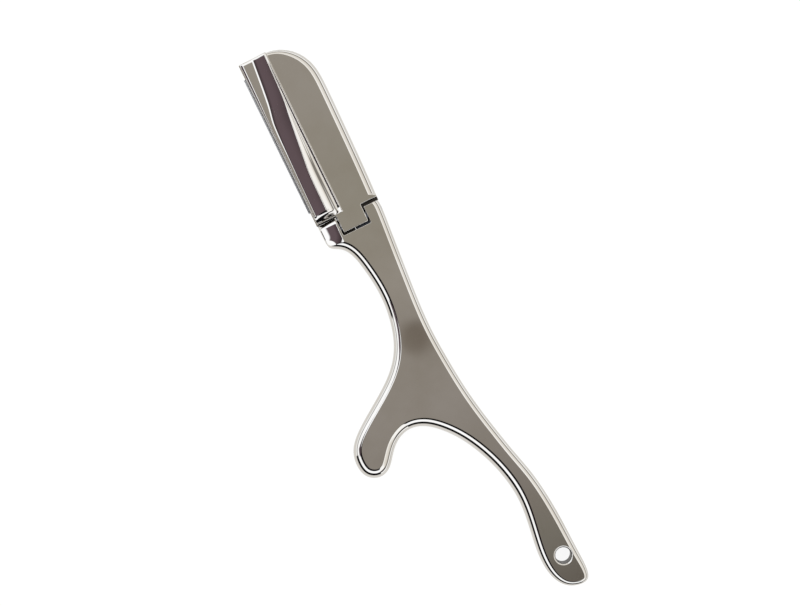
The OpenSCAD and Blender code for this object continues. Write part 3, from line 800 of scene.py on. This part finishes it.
@dataclass
class Handle:
    """The handle's casting with its fork, pocket and hanging hole."""

    at: Layout
    tail_w: float = 9.3
    hook_l: float = 28.0
    front_edge: float = 2.0
    back_edge: float = 1.2
    hole_r: float = 2.0
    rim: float = 0.5
    rim_start: float = 0.12
    slot_edge: float = 0.12
    left_end_edge: float = 0.01
    pocket_edge: float = 0.1
    floor_r: float = 0.3
    crest_in: float = 0.45
    roll_start_deg: float = 7.5
    roll_r: float = 14.0
    roll_y: tuple[float, float] = (91.5, 97.5)
    roll_edge: float = 0.8
    roll_edge_share: float = 0.6
    end_r: float = 1.5

    def blank(self, name: str) -> bpy.types.Object:
        """The casting before anything is cut from it."""
        return lofted_plate(name, self.outline(), 0, self.at.handle_t, self.back_edge, self.front_edge)

    def outline(self) -> np.ndarray:
        """The casting's outline, counter-clockwise from the left fork arm."""
        a = self.at
        rows = [[a.arm_x, y * a.handle_l, r] for y, r in ARM_SHARES]
        for shares, zero, unit in (
            (LEFT_NECK_SHARES, a.neck_x, a.neck_w),
            (HOOK_SHARES, a.neck_x, -self.hook_l),
            (TAIL_SHARES, 0.0, self.tail_w),
            (SPINE_SHARES, a.neck_x, a.neck_w),
        ):
            rows += [[zero + x * unit, y * a.handle_l, r] for x, y, r in shares]
        return spline_loop(np.array(rows), SPLINE_STEPS)

    def arm_roll(self) -> bpy.types.Object:
        """Cutter that rolls the left arm's face down towards its outer side and over at its end."""
        a = self.at
        # The cutter goes on by these past the crest, past the arm's side and past its end. It stands off
        # the face by the last one where it cuts nothing.
        inside, outside, beyond, stand_off = 0.2, 0.05, 0.6, 0.02
        above = a.handle_t + 3 * OVERRUN
        crest_x = a.recess_x - self.crest_in
        slope = math.tan(math.radians(self.roll_start_deg))
        reach = crest_x - a.arm_x - self.roll_edge_share * self.roll_edge
        edge_x = crest_x - reach
        steepest = math.atan(slope + reach / self.roll_r)
        end_y = a.left_end_y - self.end_r
        xs = np.concatenate([
            np.linspace(crest_x + inside, crest_x, 3)[:-1],
            np.linspace(crest_x, edge_x, 24)[:-1],
            np.linspace(edge_x, a.arm_x - outside, 14),
        ])
        ys = np.concatenate([
            np.linspace(self.roll_y[0], end_y, 26)[:-1],
            end_y + self.end_r * np.sin(np.linspace(0, math.pi / 2, 14)),
        ])
        ys = np.append(ys, ys[-1] + beyond)
        out = np.clip(crest_x - xs, 0, None)
        edge = np.clip(out - (crest_x - edge_x), 0, None)
        lean = math.sin(steepest) + np.clip(edge / self.roll_edge, 0, 1 - math.sin(steepest))
        round_off = self.roll_edge * (math.cos(steepest) - np.sqrt(np.clip(1 - lean**2, 0, None)))
        at_edge = slope * reach + reach**2 / (2 * self.roll_r)
        fall = np.where(edge > 0, at_edge + round_off, slope * out + out**2 / (2 * self.roll_r))
        rings = []
        for y in ys:
            share = np.clip((y - self.roll_y[0]) / (self.roll_y[1] - self.roll_y[0]), 0, 1)
            share = share**2 * (3 - 2 * share)
            past = np.clip(y - end_y, 0, self.end_r)
            over = self.end_r - math.sqrt(max(self.end_r**2 - past**2, 0))
            z = a.handle_t - fall * share - over
            z[:2] = a.handle_t - over + (stand_off if share < 1 and over == 0 else 0.0)
            low = np.column_stack([xs, np.full(len(xs), y), z])
            high = low.copy()
            high[:, 2] = above
            rings.append(np.vstack([low, high[::-1]]))
        return solid("arm_roll", rings)

    def hanging_hole(self) -> bpy.types.Object:
        """Cutter of the hanging hole, with a rounded rim at both ends."""
        turns = np.linspace(self.rim_start, math.pi / 2, 9)
        side = [(self.hole_r + self.rim, BELOW)]
        side += [(self.hole_r + self.rim * (1 - math.sin(t)), self.rim * (1 - math.cos(t))) for t in turns]
        side += [(r, self.at.handle_t - h) for r, h in reversed(side)]
        return turned("hanging_hole", side, (0, 0, 0))

    def build(self, finish: bpy.types.Material, dull: bpy.types.Material) -> bpy.types.Object:
        """Builds the casting and dresses it, with painted shade, a dark dull material, on its hidden walls.
        """
        a = self.at
        far = 12.0
        top = a.handle_l + far
        left, right = a.recess_x, a.recess_x + a.recess_w
        floor_y = a.hinge_y - a.knuckle_r - a.end_gap
        body = self.blank("handle_casting")
        right_top = block(left, left + 3 * far, a.handle_l, top)
        left_top = block(left - 3 * far, left, a.left_end_y, top)
        combine(body, Boolean.CUT, [
            flared_cut("right_arm_top", right_top, BELOW, a.handle_t, self.slot_edge),
            flared_cut("left_arm_top", left_top, BELOW, a.handle_t, self.left_end_edge),
            self.arm_roll(),
        ])
        recess = [
            [left, top, 0, 1], [left, floor_y, self.floor_r, 1],
            [right, floor_y, self.floor_r, 1], [right, top, 0, 1],
        ]
        pocket = a.bar(a.hinge_y - a.tang_l - a.fit_gap, top, a.tang_w + 2 * a.fit_gap)
        combine(body, Boolean.CUT, [
            flared_cut("recess", recess, a.recess_z, a.handle_t, self.slot_edge),
            flared_cut("pocket", pocket, a.pocket_t, 0, self.pocket_edge, Side.BACK),
            a.on_hinge("pin_bore", a.pin_r, a.tongue_x - OVERRUN / 2, a.spine_x + a.pin_past),
            a.on_hinge("pin_seat", a.pin_r, left - a.pin_seat, a.tongue_x),
            self.hanging_hole(),
        ])
        made = finished(body, finish, Body.HANDLE, "handle")
        # Painted shade: the walls of the joint's gaps and of the hanging hole get the dark material.
        second_finish(made, dull, self.hidden_wall)
        return made

    def hidden_wall(self, centre: Vector, normal: Vector) -> bool:
        """Whether a face is a wall of the joint's gaps or of the hanging hole, which gets the painted
        shade.
        """
        a = self.at
        x, y, z = centre
        upright, level, floor_band = 0.3, 0.5, 0.1
        wall = abs(normal.z) < upright
        in_hole = math.hypot(x, y) < self.hole_r + NEAR and wall
        across = a.recess_x - NEAR < x < a.recess_x + a.recess_w + NEAR
        along = y > a.hinge_y - a.knuckle_r - a.end_gap - NEAR
        in_recess = across and along and z > a.recess_z - floor_band
        floor = z < a.recess_z + floor_band and normal.z > level
        end = normal.y > FACING and y > a.handle_l - NEAR
        return in_hole or (in_recess and (wall or floor)) or end


def rib_profile(across: np.ndarray, height: np.ndarray, soft: float) -> tuple[np.ndarray, np.ndarray]:
    """One section of the guard rib: a flat strip, the roll up to a ridge, and the flank with its bead.

    Args:
        across: places of the section's nine columns.
        height: heights of the columns.
        soft: half width over which the strip bends into the roll.

    Returns:
        The places and the heights of the section's points.
    """
    shoulder, crease, crest = across[1], across[2], across[3]
    rise = height[3] - height[2]
    run = crest - crease
    steep = (1 + RIB_CROWN) * rise / run
    left = np.concatenate([
        np.linspace(across[0], shoulder, 5, endpoint=False),
        np.linspace(shoulder, crease - soft, 4, endpoint=False) if crease - soft > shoulder else [],
        np.linspace(max(shoulder, crease - soft), crease + soft, 12, endpoint=False),
        np.linspace(crease + soft, crest, 16),
    ])
    strip = np.interp(left, across[:3], height[:3])
    strip = np.where(left > crease, height[2], strip)
    bend = steep * (left - crease + soft) ** 2 / (4 * soft)
    straight = steep * (left - crease)
    roll = np.where(left < crease - soft, 0, np.where(left < crease + soft, bend, straight))
    roll = roll - RIB_CROWN * rise * (np.clip(left - crease, 0, None) / run) ** 2
    right = np.concatenate([np.linspace(p, q, 8, endpoint=False) for p, q in zip(across[3:6], across[4:7])])
    flank = smooth_line(np.column_stack([across[3:7], height[3:7]]), right)[:, 0]
    bead = np.linspace(across[6], across[7], 6)
    right = np.concatenate([right, bead])
    flank = np.concatenate([flank, np.linspace(height[6], height[7], 6)])
    over = np.linspace(0, math.pi / 2, 9)[1:]
    right = np.concatenate([right, across[7] + (across[8] - across[7]) * np.sin(over)])
    flank = np.concatenate([flank, height[7] * np.cos(over)])
    return np.concatenate([left[:-1], right]), np.concatenate([(strip + roll)[:-1], flank])


@dataclass
class FrontJaw:
    """The flip-up jaw: flat plate, guard rib, hinge tongue and knuckle."""

    at: Layout
    spine_edge: float = 1.9
    slot_edge: float = 0.14
    corner_r: float = 0.3
    notch_r: float = 0.25
    foot_r: float = 0.35
    rib_w: float = 7.3
    rib_h: float = 1.5
    rib_root: float = 0.7
    heel_gap: float = 0.3
    tip_past: float = 0.02
    tip_r: float = 0.3
    lip_r: float = 0.16
    lip_past: float = 0.001
    slope: float = 1.7
    slope_power: float = 1.2
    knuckle_in: float = 0.002
    bore_gap: float = 0.05
    bore_half: float = 5.0
    hole_z: float = 1.0

    def outline(self) -> np.ndarray:
        """The plate's outline with the tongue, counter-clockwise from the lip's tip."""
        a = self.at
        loop = a.head_outline()
        # The head's curve is followed where it is this far clear of the shoulder and of the lip.
        clear_y, clear_x = 0.8, 0.5
        curve = loop[(loop[:, 1] > a.shoulder_y + clear_y) & (loop[:, 0] > a.lip_x + clear_x)]
        curve = curve[np.argsort(np.arctan2(curve[:, 1] - a.blade_y, curve[:, 0] - a.neck_x))]
        # The curve begins under the shoulder on the spine side, and its first stretch crosses it.
        first = loop[:20]
        foot = float(np.interp(a.shoulder_y, first[:, 1], first[:, 0]))
        edge = self.slot_edge / self.spine_edge
        left, right = a.tongue_x - a.tongue_w / 2, a.tongue_x + a.tongue_w / 2
        end_y = a.hinge_y - a.knuckle_r
        corners = [
            [a.lip_x, float(curve[-1, 1]), self.corner_r, edge],
            [a.lip_x, a.shoulder_y, self.corner_r, edge],
            [left, a.shoulder_y, self.notch_r, edge],
            [left, end_y, self.corner_r, edge],
            [right, end_y, self.corner_r, edge],
            [right, a.shoulder_y, self.notch_r, edge],
            [foot, a.shoulder_y, self.foot_r, edge],
        ]
        return rounded_corners(corners + [[x, y, 0, r] for x, y, r in curve])

    def rib(self) -> bpy.types.Object:
        """The guard rib: a roll whose crest slants from the middle at the heel to the bead at the tip."""
        a = self.at
        y0, y1 = a.shoulder_y + self.heel_gap, a.shoulder_y + a.head_l + self.tip_past
        tip_y = y1 - self.tip_r
        quarter = math.pi / 2
        stations = [
            (y0 + t * self.slope, math.sin(t * quarter) ** self.slope_power) for t in np.linspace(0, 1, 13)
        ]
        stations += [(y, 1.0) for y in np.linspace(y0 + self.slope, tip_y, 80)[1:]]
        stations += [(tip_y + self.tip_r * math.sin(t), 1.0) for t in np.linspace(0, quarter, 7)[1:]]
        low = a.handle_t - self.rib_root
        rings = []
        for y, lift in stations:
            along = np.array([(y - a.shoulder_y) / a.head_l])
            across = smooth_line([[place, *width] for place, width, _ in RIB_SHARES], along)[0]
            height = smooth_line([[place, *rise] for place, _, rise in RIB_SHARES], along)[0]
            soft = float(smooth_line(RIB_CREASE_SHARES, along)[0, 0])
            out, top = rib_profile(across, height, soft)
            top = top * self.rib_h * lift
            end = max(0.0, y - tip_y)
            near = np.clip(self.lip_r - out * self.rib_w, 0, self.lip_r)
            drop = self.tip_r - math.sqrt(max(self.tip_r**2 - end**2, 0))
            drop = drop + self.lip_r - np.sqrt(self.lip_r**2 - near**2)
            x = a.lip_x - self.lip_past + out * self.rib_w
            face = np.column_stack([x, np.full(len(x), y), a.handle_t + top - drop])
            rings.append(np.vstack([[x[0], y, low], face, [x[-1], y, low]]))
        return solid("rib", rings)

    def build(self, finish: bpy.types.Material, dull: bpy.types.Material) -> bpy.types.Object:
        """Builds the jaw and dresses it, with painted shade, a dark dull material, on its hidden walls."""
        a = self.at
        body = lofted_plate("flip_up_jaw", self.outline(), a.jaw_z, a.handle_t, 0.0, self.spine_edge)
        combine(body, Boolean.JOIN, [self.rib()])
        under = block(a.tongue_x - a.tongue_w, a.tongue_x + a.tongue_w, a.hinge_y - 3 * OVERRUN, a.hinge_y)
        corner = lofted_plate("tongue_corner", rounded_corners(under), 0.0, a.hinge_z, 0.0, 0.0)
        combine(body, Boolean.CUT, [corner])
        half, r = a.tongue_w / 2 - self.knuckle_in, a.knuckle_r - self.knuckle_in
        combine(body, Boolean.JOIN, [a.on_hinge("knuckle", r, a.tongue_x - half, a.tongue_x + half, 96)])
        bore = (a.tongue_x - self.bore_half, a.tongue_x + self.bore_half)
        cuts = [a.on_hinge("bore", a.pin_r + self.bore_gap, *bore)]
        top = a.blade_z + a.blade_t + a.stud_rise + a.fit_gap
        for k in (-1, 0, 1):
            x, y, r = a.stud(k)
            hole = [(r + a.fit_gap, self.hole_z), (r + a.fit_gap, top)]
            cuts.append(turned("stud_hole", hole, (x, y, 0)))
        combine(body, Boolean.CUT, cuts)
        made = finished(body, finish, Body.JAW, "front_jaw")
        # Painted shade: the tongue's sides and the shoulder in the joint's gap get the dark material.
        second_finish(made, dull, self.hidden_wall)
        return made

    def hidden_wall(self, centre: Vector, normal: Vector) -> bool:
        """Whether a face is a wall of the joint's gaps, which gets the painted shade."""
        a = self.at
        _, y, z = centre
        upright = 0.5
        tongue = y < a.shoulder_y + NEAR and abs(normal.z) < upright
        shoulder = abs(y - a.shoulder_y) < NEAR and normal.y < -FACING
        return (tongue or shoulder) and z < a.handle_t - NEAR


@dataclass
class RearJaw:
    """The fixed jaw behind the blade, with the tang that is screwed into the handle's pocket."""

    at: Layout
    back_edge: float = 1.2
    rear_lip: float = 0.35
    rear_tip: float = 0.3
    lip_back_r: float = 3.2
    lip_edge_t: float = 0.55
    lip_end_angle: float = 0.02
    side_edge: float = 0.05
    shoulder_edge: float = 0.02
    floor_step: float = 0.01
    tang_z: float = 0.002
    tang_edge: float = 0.1
    stud_seat: float = 1.6
    screw_gap: float = 0.03
    shank_gap: float = 0.07

    def outline(self) -> np.ndarray:
        """The head's outline, which stands out a little past the front jaw at its tip."""
        loop = self.at.head_outline()
        loop[:, 1] += self.rear_tip * np.clip(outward(loop)[:, 1], 0, None)
        return loop

    def lip_cut(self) -> bpy.types.Object:
        """Cutter that rolls the lip's back off along the whole head."""
        a = self.at
        rear_x = a.lip_x - self.rear_lip
        rise = a.rear_t - self.lip_edge_t
        run = math.sqrt(self.lip_back_r**2 - (self.lip_back_r - rise) ** 2)
        angles = np.linspace(math.asin(run / self.lip_back_r), self.lip_end_angle, 26)
        arc = [
            (rear_x + run - self.lip_back_r * math.sin(t), self.lip_back_r * (1 - math.cos(t)))
            for t in angles
        ]
        outer_x = rear_x - OVERRUN
        profile = np.array([(outer_x, BELOW), (outer_x, rise), *arc, (arc[-1][0], BELOW)])
        ends = (a.shoulder_y - 2 * OVERRUN, a.shoulder_y + a.head_l + 2 * OVERRUN)
        rings = [np.column_stack([profile[:, 0], np.full(len(profile), y), profile[:, 1]]) for y in ends]
        return solid("lip_cut", rings)

    def screw_seat(self, y: float) -> bpy.types.Object:
        """Cutter of a countersunk screw's seat in the tang."""
        a = self.at
        outer, inner = a.screw_head_r + self.screw_gap, a.screw_r + self.screw_gap
        shank_r, floor, above = inner + self.shank_gap, self.screw_gap + a.screw_head_h, 4.0
        profile = [(outer, BELOW), (outer, self.screw_gap), (inner, floor)]
        profile += [(shank_r, floor), (shank_r, above)]
        return turned("screw_seat", profile, (a.neck_x, y, 0))

    def build(self, finish: bpy.types.Material, dull: bpy.types.Material) -> bpy.types.Object:
        """Builds the fixed jaw and dresses it, with painted shade, a dark dull material, behind the joint's
        gaps.
        """
        a = self.at
        far = 60.0
        rear_x = a.lip_x - self.rear_lip
        body = lofted_plate("fixed_jaw", self.outline(), 0, a.rear_t, self.back_edge, 0.0)
        side = block(rear_x - far, rear_x, 0, 3 * far)
        left = block(rear_x - OVERRUN, a.recess_x + a.fit_gap, 0, a.left_end_y + a.fit_gap)
        right = block(rear_x - OVERRUN, far, 0, a.handle_l + a.fit_gap)
        floor = rounded_corners(block(rear_x - OVERRUN, far, 0, a.shoulder_y))
        combine(body, Boolean.CUT, [
            flared_cut("side", side, BELOW, a.rear_t, self.side_edge),
            flared_cut("left_shoulder", left, BELOW, a.rear_t, self.shoulder_edge),
            flared_cut("right_shoulder", right, BELOW, a.rear_t, self.shoulder_edge),
            lofted_plate("gap_floor", floor, a.rear_t - self.floor_step, far, 0.0, 0.0),
            self.lip_cut(),
        ])
        bar = rounded_corners(a.bar(a.hinge_y - a.tang_l, a.shoulder_y + OVERRUN, a.tang_w))
        combine(body, Boolean.JOIN, [lofted_plate("tang", bar, self.tang_z, a.tang_t, self.tang_edge, 0.0)])
        cuts = [self.screw_seat(y) for y in a.screw_ys]
        for k in (-1, 0, 1):
            x, y, r = a.stud(k)
            seat = [(r - a.press, a.rear_t - self.stud_seat), (r - a.press, a.rear_t + OVERRUN)]
            cuts.append(turned("stud_seat", seat, (x, y, 0)))
        combine(body, Boolean.CUT, cuts)
        made = finished(body, finish, Body.HANDLE, "rear_jaw")
        # Painted shade: the faces seen through the joint's gaps get the dark material.
        second_finish(made, dull, self.hidden_wall)
        return made

    def hidden_wall(self, centre: Vector, normal: Vector) -> bool:
        """Whether a face lies behind the joint's gaps, which gets the painted shade."""
        _, y, z = centre
        low_z, edge = 1.3, 0.02
        return z > low_z and y < self.at.shoulder_y + edge and (normal.z > FACING or normal.y < -FACING)


@dataclass
class HingePin:
    """The pin, ground flush with the handle's spine edge."""

    handle: Handle

    def build(self, finish: bpy.types.Material) -> bpy.types.Object:
        """Builds and dresses the pin."""
        a = self.handle.at
        pin = a.on_hinge("hinge_pin_rod", a.pin_r, a.recess_x - a.pin_seat, a.spine_x + a.pin_past)
        combine(pin, Boolean.COMMON, [self.handle.blank("flush")])
        return finished(pin, finish, Body.HANDLE, "hinge_pin")


def carried(node: str, finish: bpy.types.Material) -> None:
    """Gives a carried-over CAD node its finish."""
    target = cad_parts[node]
    target.data.materials.clear()
    target.data.materials.append(finish)
    LOG.info("%s: kept from the packed model", node)


# Studio

# Colours of the sky from straight up (0) to the horizon (90 degrees), as they show in the plating: in the
# sector of the dark flag, on the left side, on the right side and on the side of the tail.
WALLS: dict[str, list[tuple[float, str]]] = {
    "flag": [
        (0, "#8a8378"), (2.6, "#8a8378"), (3.2, "#121011"), (26.5, "#161314"), (29.5, "#ffffff"),
        (55, "#ffffff"), (58.5, "#0c0b0c"), (86, "#121112"), (88.5, "#b0aca7"), (90, "#b8b4af"),
    ],
    "left": [
        (0, "#8a8378"), (4, "#8f887e"), (6.5, "#ffffff"), (60, "#ffffff"), (64, "#8f8b86"), (70, "#8f8b86"),
        (74, "#e9e9e7"), (90, "#efefed"),
    ],
    "right": [
        (0, "#8a8378"), (4, "#8f887e"), (6.5, "#fbf9f6"), (16, "#f3efe9"), (24, "#e4dfd7"), (44, "#dcd7ce"),
        (54, "#cfc9bf"), (60, "#87827c"), (72, "#7d7872"), (76, "#f5f3ee"), (90, "#ffffff"),
    ],
    "low": [
        (0, "#8a8378"), (4, "#8f887e"), (6.5, "#f6f3ec"), (44, "#ffffff"), (52, "#e9e3d9"), (58, "#3b3638"),
        (72, "#2c282a"), (77, "#f5f3ee"), (90, "#ffffff"),
    ],
}
# Colours of the ceiling patch from the tail's side to the tip's, by the Y part of the direction. A ramp
# reads places from 0 to 1, so that part is stretched and moved to fit.
PATCH_STRETCH, PATCH_MIDDLE = 2.0, 0.5
CEILING: list[tuple[float, str]] = [
    (-0.19, "#5c564e"), (-0.175, "#655f57"), (-0.148, "#757067"), (-0.12, "#7c756d"), (-0.063, "#8b847c"),
    (-0.006, "#8c857c"), (0.01, "#90897f"), (0.06, "#8d877b"), (0.16, "#928b82"),
]


class Do(Enum):
    """What a row of the sky does: one of Blender's maths operations, or one of the last three.

    RAMP reads the colours of the row's name, BLEND goes from its first colour to its second as its share
    goes from 0 to 1, and RISE goes softly from 0 at its first place to 1 at its second.
    """

    ADD = "ADD"
    SUBTRACT = "SUBTRACT"
    MULTIPLY = "MULTIPLY"
    DIVIDE = "DIVIDE"
    POWER = "POWER"
    SQRT = "SQRT"
    ABSOLUTE = "ABSOLUTE"
    MAXIMUM = "MAXIMUM"
    ARCCOSINE = "ARCCOSINE"
    RAMP = "ramp"
    BLEND = "blend"
    RISE = "rise"


# The sky, row by row: the name of the result, what is done, and names of earlier results, colours as they
# show in the plating, or numbers. dx, dy and dz are the parts of the direction.
SKY: list[tuple] = [
    # The angle from straight up, as a share of a right angle, and the level part's length, never quite 0.
    ("polar", Do.ARCCOSINE, "dz"),
    ("tilt", Do.DIVIDE, "polar", math.pi / 2),
    ("dx_squared", Do.MULTIPLY, "dx", "dx"),
    ("dy_squared", Do.MULTIPLY, "dy", "dy"),
    ("squares", Do.ADD, "dx_squared", "dy_squared"),
    ("distance", Do.SQRT, "squares"),
    ("reach", Do.MAXIMUM, "distance", 1e-4),
    # The sectors: the flag to the lower left, the left side, and the side of the tail.
    ("flag_x", Do.MULTIPLY, "dx", -0.76),
    ("flag_y", Do.MULTIPLY, "dy", -0.65),
    ("toward_flag", Do.ADD, "flag_x", "flag_y"),
    ("flag_share", Do.DIVIDE, "toward_flag", "reach"),
    ("in_flag", Do.RISE, "flag_share", 0.62, 0.65),
    ("left_share", Do.DIVIDE, "dx", "reach"),
    ("on_left", Do.RISE, "left_share", 0.0, -0.2),
    ("low_share", Do.DIVIDE, "dy", "reach"),
    ("on_low", Do.RISE, "low_share", -0.8, -0.93),
    ("flag", Do.RAMP, "tilt"),
    ("left", Do.RAMP, "tilt"),
    ("right", Do.RAMP, "tilt"),
    ("low", Do.RAMP, "tilt"),
    ("left_or_right", Do.BLEND, "on_left", "right", "left"),
    ("walls", Do.BLEND, "on_low", "left_or_right", "low"),
    ("sides", Do.BLEND, "in_flag", "walls", "flag"),
    # The grey ceiling patch that the flat faces mirror, with a small darker spot in it.
    ("dy_stretched", Do.MULTIPLY, "dy", PATCH_STRETCH),
    ("patch_place", Do.ADD, "dy_stretched", PATCH_MIDDLE),
    ("patch", Do.RAMP, "patch_place"),
    ("spot_x", Do.POWER, "dx", 2.0),
    ("spot_dy", Do.ADD, "dy", 0.021),
    ("spot_y", Do.POWER, "spot_dy", 2.0),
    ("spot_squares", Do.ADD, "spot_x", "spot_y"),
    ("from_spot", Do.SQRT, "spot_squares"),
    ("in_spot", Do.RISE, "from_spot", 0.014, 0.004),
    ("ceiling", Do.BLEND, "in_spot", "patch", "#6d645a"),
    # The patch's edges: it is wider on the tip's side.
    ("patch_dx", Do.ADD, "dx", 0.012),
    ("aside", Do.ABSOLUTE, "patch_dx"),
    ("tip_side", Do.RISE, "dy", 0.04, 0.06),
    ("widening", Do.MULTIPLY, "tip_side", 0.03),
    ("narrowed", Do.SUBTRACT, "aside", "widening"),
    ("in_width", Do.RISE, "narrowed", 0.06, 0.05),
    ("patch_dy", Do.ADD, "dy", 0.01),
    ("along", Do.ABSOLUTE, "patch_dy"),
    ("in_length", Do.RISE, "along", 0.2, 0.19),
    ("in_patch", Do.MULTIPLY, "in_width", "in_length"),
    # A plum patch on the left, which the left fork arm shows.
    ("leftward", Do.MULTIPLY, "dx", -1.0),
    ("dx_halved", Do.MULTIPLY, "dx", 0.5),
    ("lean", Do.ADD, "dy", "dx_halved"),
    ("above_foot", Do.RISE, "dy", 0.03, 0.042),
    ("below_head", Do.RISE, "dy", 0.27, 0.245),
    ("in_height", Do.MULTIPLY, "above_foot", "below_head"),
    ("under_slant", Do.RISE, "lean", 0.14, 0.12),
    ("in_slant", Do.MULTIPLY, "in_height", "under_slant"),
    ("past_near_end", Do.RISE, "leftward", 0.2, 0.24),
    ("before_far_end", Do.RISE, "leftward", 0.64, 0.58),
    ("in_ends", Do.MULTIPLY, "past_near_end", "before_far_end"),
    ("in_plum", Do.MULTIPLY, "in_slant", "in_ends"),
    ("from_dark", Do.RISE, "leftward", 0.22, 0.32),
    ("to_light", Do.RISE, "leftward", 0.3, 0.44),
    ("light_plum", Do.BLEND, "to_light", "#4b3f42", "#5f5155"),
    ("plum", Do.BLEND, "from_dark", "#2e2628", "light_plum"),
    ("sides_and_plum", Do.BLEND, "in_plum", "sides", "plum"),
    ("sky", Do.BLEND, "in_patch", "sides_and_plum", "ceiling"),
]


@dataclass
class Studio:
    """A pale floor, a soft studio sky and the photograph's camera."""

    centre: tuple[float, float] = (-9.07, 74.65)
    height: float = 455.0
    face_z: float = 5.0
    turn_deg: float = -26.0
    view_w: float = 200.0
    sensor_w: float = 36.0
    floor_z: float = -0.03
    floor_half_m: float = 3.0
    glow: float = 0.9
    plating: str = PLATED_CASTING.colour
    strength: float = 1.8

    def floor(self) -> None:
        """Lays a plain sheet of backlit white acrylic under the razor."""
        mesh = bpy.data.meshes.new("floor")
        s, z = self.floor_half_m, self.floor_z * MM
        mesh.from_pydata([(-s, -s, z), (s, -s, z), (s, s, z), (-s, s, z)], [], [(0, 1, 2, 3)])
        made = bpy.data.objects.new("floor", mesh)
        bpy.context.scene.collection.objects.link(made)
        acrylic = bpy.data.materials.new("backlit_white_acrylic")
        acrylic.use_nodes = True
        shader = acrylic.node_tree.nodes["Principled BSDF"]
        for name, value in {
            "Base Color": linear("#6b6b6a"),
            "Roughness": 0.9,
            "Specular IOR Level": 0.0,
            "Emission Color": linear("#ffffff"),
            "Emission Strength": self.glow,
        }.items():
            shader.inputs[name].default_value = value
        mesh.materials.append(acrylic)

    def seen(self, colour: str) -> Colour:
        """Turns a colour as it shows in the plating's mirror into the sky's colour there."""
        shown, mirror = linear(colour), linear(self.plating)
        return tuple(s / (m * self.strength) for s, m in zip(shown[:3], mirror[:3])) + (1.0,)

    def camera(self) -> None:
        """Puts the camera straight above the photograph's centre."""
        data = bpy.data.cameras.new("camera")
        data.sensor_width = self.sensor_w
        data.lens = self.sensor_w * (self.height - self.face_z) / self.view_w
        data.clip_start, data.clip_end = 0.01, 10.0
        made = bpy.data.objects.new("camera", data)
        made.location = Vector((self.centre[0], self.centre[1], self.height)) * MM
        made.rotation_euler = (0.0, 0.0, math.radians(self.turn_deg))
        bpy.context.scene.collection.objects.link(made)
        bpy.context.scene.camera = made

    def add_row(
        self, tree: bpy.types.NodeTree, task: Do, values: list, stops: list[tuple[float, Colour]]
    ) -> bpy.types.NodeSocket:
        """Adds the nodes of one row of the sky.

        Args:
            tree: the sky's node tree.
            task: what the row does.
            values: its sockets, colours and numbers.
            stops: the places and colours that a ramp reads.

        Returns:
            The row's result.
        """
        if task is Do.RAMP:
            node = add_node(tree, "ShaderNodeValToRGB", inputs={"Fac": values[0]})
            set_ramp(node, stops)
            return node.outputs[0]
        if task is Do.BLEND:
            inputs = dict(zip(("Factor", 6, 7), values))
            return add_node(tree, "ShaderNodeMix", {"data_type": "RGBA"}, inputs).outputs[2]
        if task is Do.RISE:
            value, first, second = values
            how = {"interpolation_type": "SMOOTHSTEP"}
            inputs = {"Value": value, "From Min": min(first, second), "From Max": max(first, second)}
            risen = add_node(tree, "ShaderNodeMapRange", how, inputs).outputs[0]
            if first < second:
                return risen
            task, values = Do.SUBTRACT, [1.0, risen]
        inputs = dict(enumerate(values))
        return add_node(tree, "ShaderNodeMath", {"operation": task.value}, inputs).outputs[0]

    def sky(self) -> None:
        """Makes the soft studio: a grey ceiling patch, white softboxes and dark flags beside them."""
        world = bpy.data.worlds.new("soft_studio")
        bpy.context.scene.world = world
        world.use_nodes = True
        tree = world.node_tree
        tree.nodes.clear()
        stops = {name: [(angle / 90, self.seen(c)) for angle, c in wall] for name, wall in WALLS.items()}
        stops["patch"] = [(PATCH_STRETCH * dy + PATCH_MIDDLE, self.seen(c)) for dy, c in CEILING]
        way = add_node(tree, "ShaderNodeTexCoord").outputs["Generated"]
        parts = add_node(tree, "ShaderNodeSeparateXYZ", inputs={"Vector": way}).outputs
        made = {"dx": parts["X"], "dy": parts["Y"], "dz": parts["Z"]}

        def value(given: str | float) -> object:
            """An earlier row's result, the sky's colour for a hex colour, or the number itself."""
            if isinstance(given, str):
                return self.seen(given) if given.startswith("#") else made[given]
            return given

        for name, task, *given in SKY:
            made[name] = self.add_row(tree, task, [value(v) for v in given], stops.get(name, []))
        back = add_node(
            tree, "ShaderNodeBackground", inputs={"Color": made["sky"], "Strength": self.strength}
        )
        add_node(tree, "ShaderNodeOutputWorld", inputs={"Surface": back.outputs[0]})

    def build(self) -> None:
        """Builds the floor, the sky and the camera."""
        self.floor()
        self.sky()
        self.camera()
        bpy.context.scene.view_settings.view_transform = "Standard"


def main() -> None:
    """Builds every piece, the studio and the camera."""
    logging.basicConfig(level=logging.INFO, format="%(name)s %(message)s")
    at = Layout()
    casting, plate = PLATED_CASTING.build(), PLATED_PLATE.build()
    gap_shade = GAP_SHADE_PLATING.build()
    handle = Handle(at)
    handle.build(casting, gap_shade)
    RearJaw(at).build(plate, gap_shade)
    FrontJaw(at).build(plate, gap_shade)
    HingePin(handle).build(GROUND_ROD.build())
    carried("blade", GROUND_BLADE.build())
    shim = STAMPED_SHIM.build()
    carried("washer_left", shim)
    carried("washer_right", shim)
    carried("leaf_spring", SPRING_STRIP.build())
    screw = ZINC_SCREW.build()
    carried("screw_upper", screw)
    carried("screw_lower", screw)
    stud = TURNED_STUD.build()
    for name in ("stud_tip", "stud_middle", "stud_heel"):
        carried(name, stud)
    Studio().build()


if __name__ == "__main__":
    main()
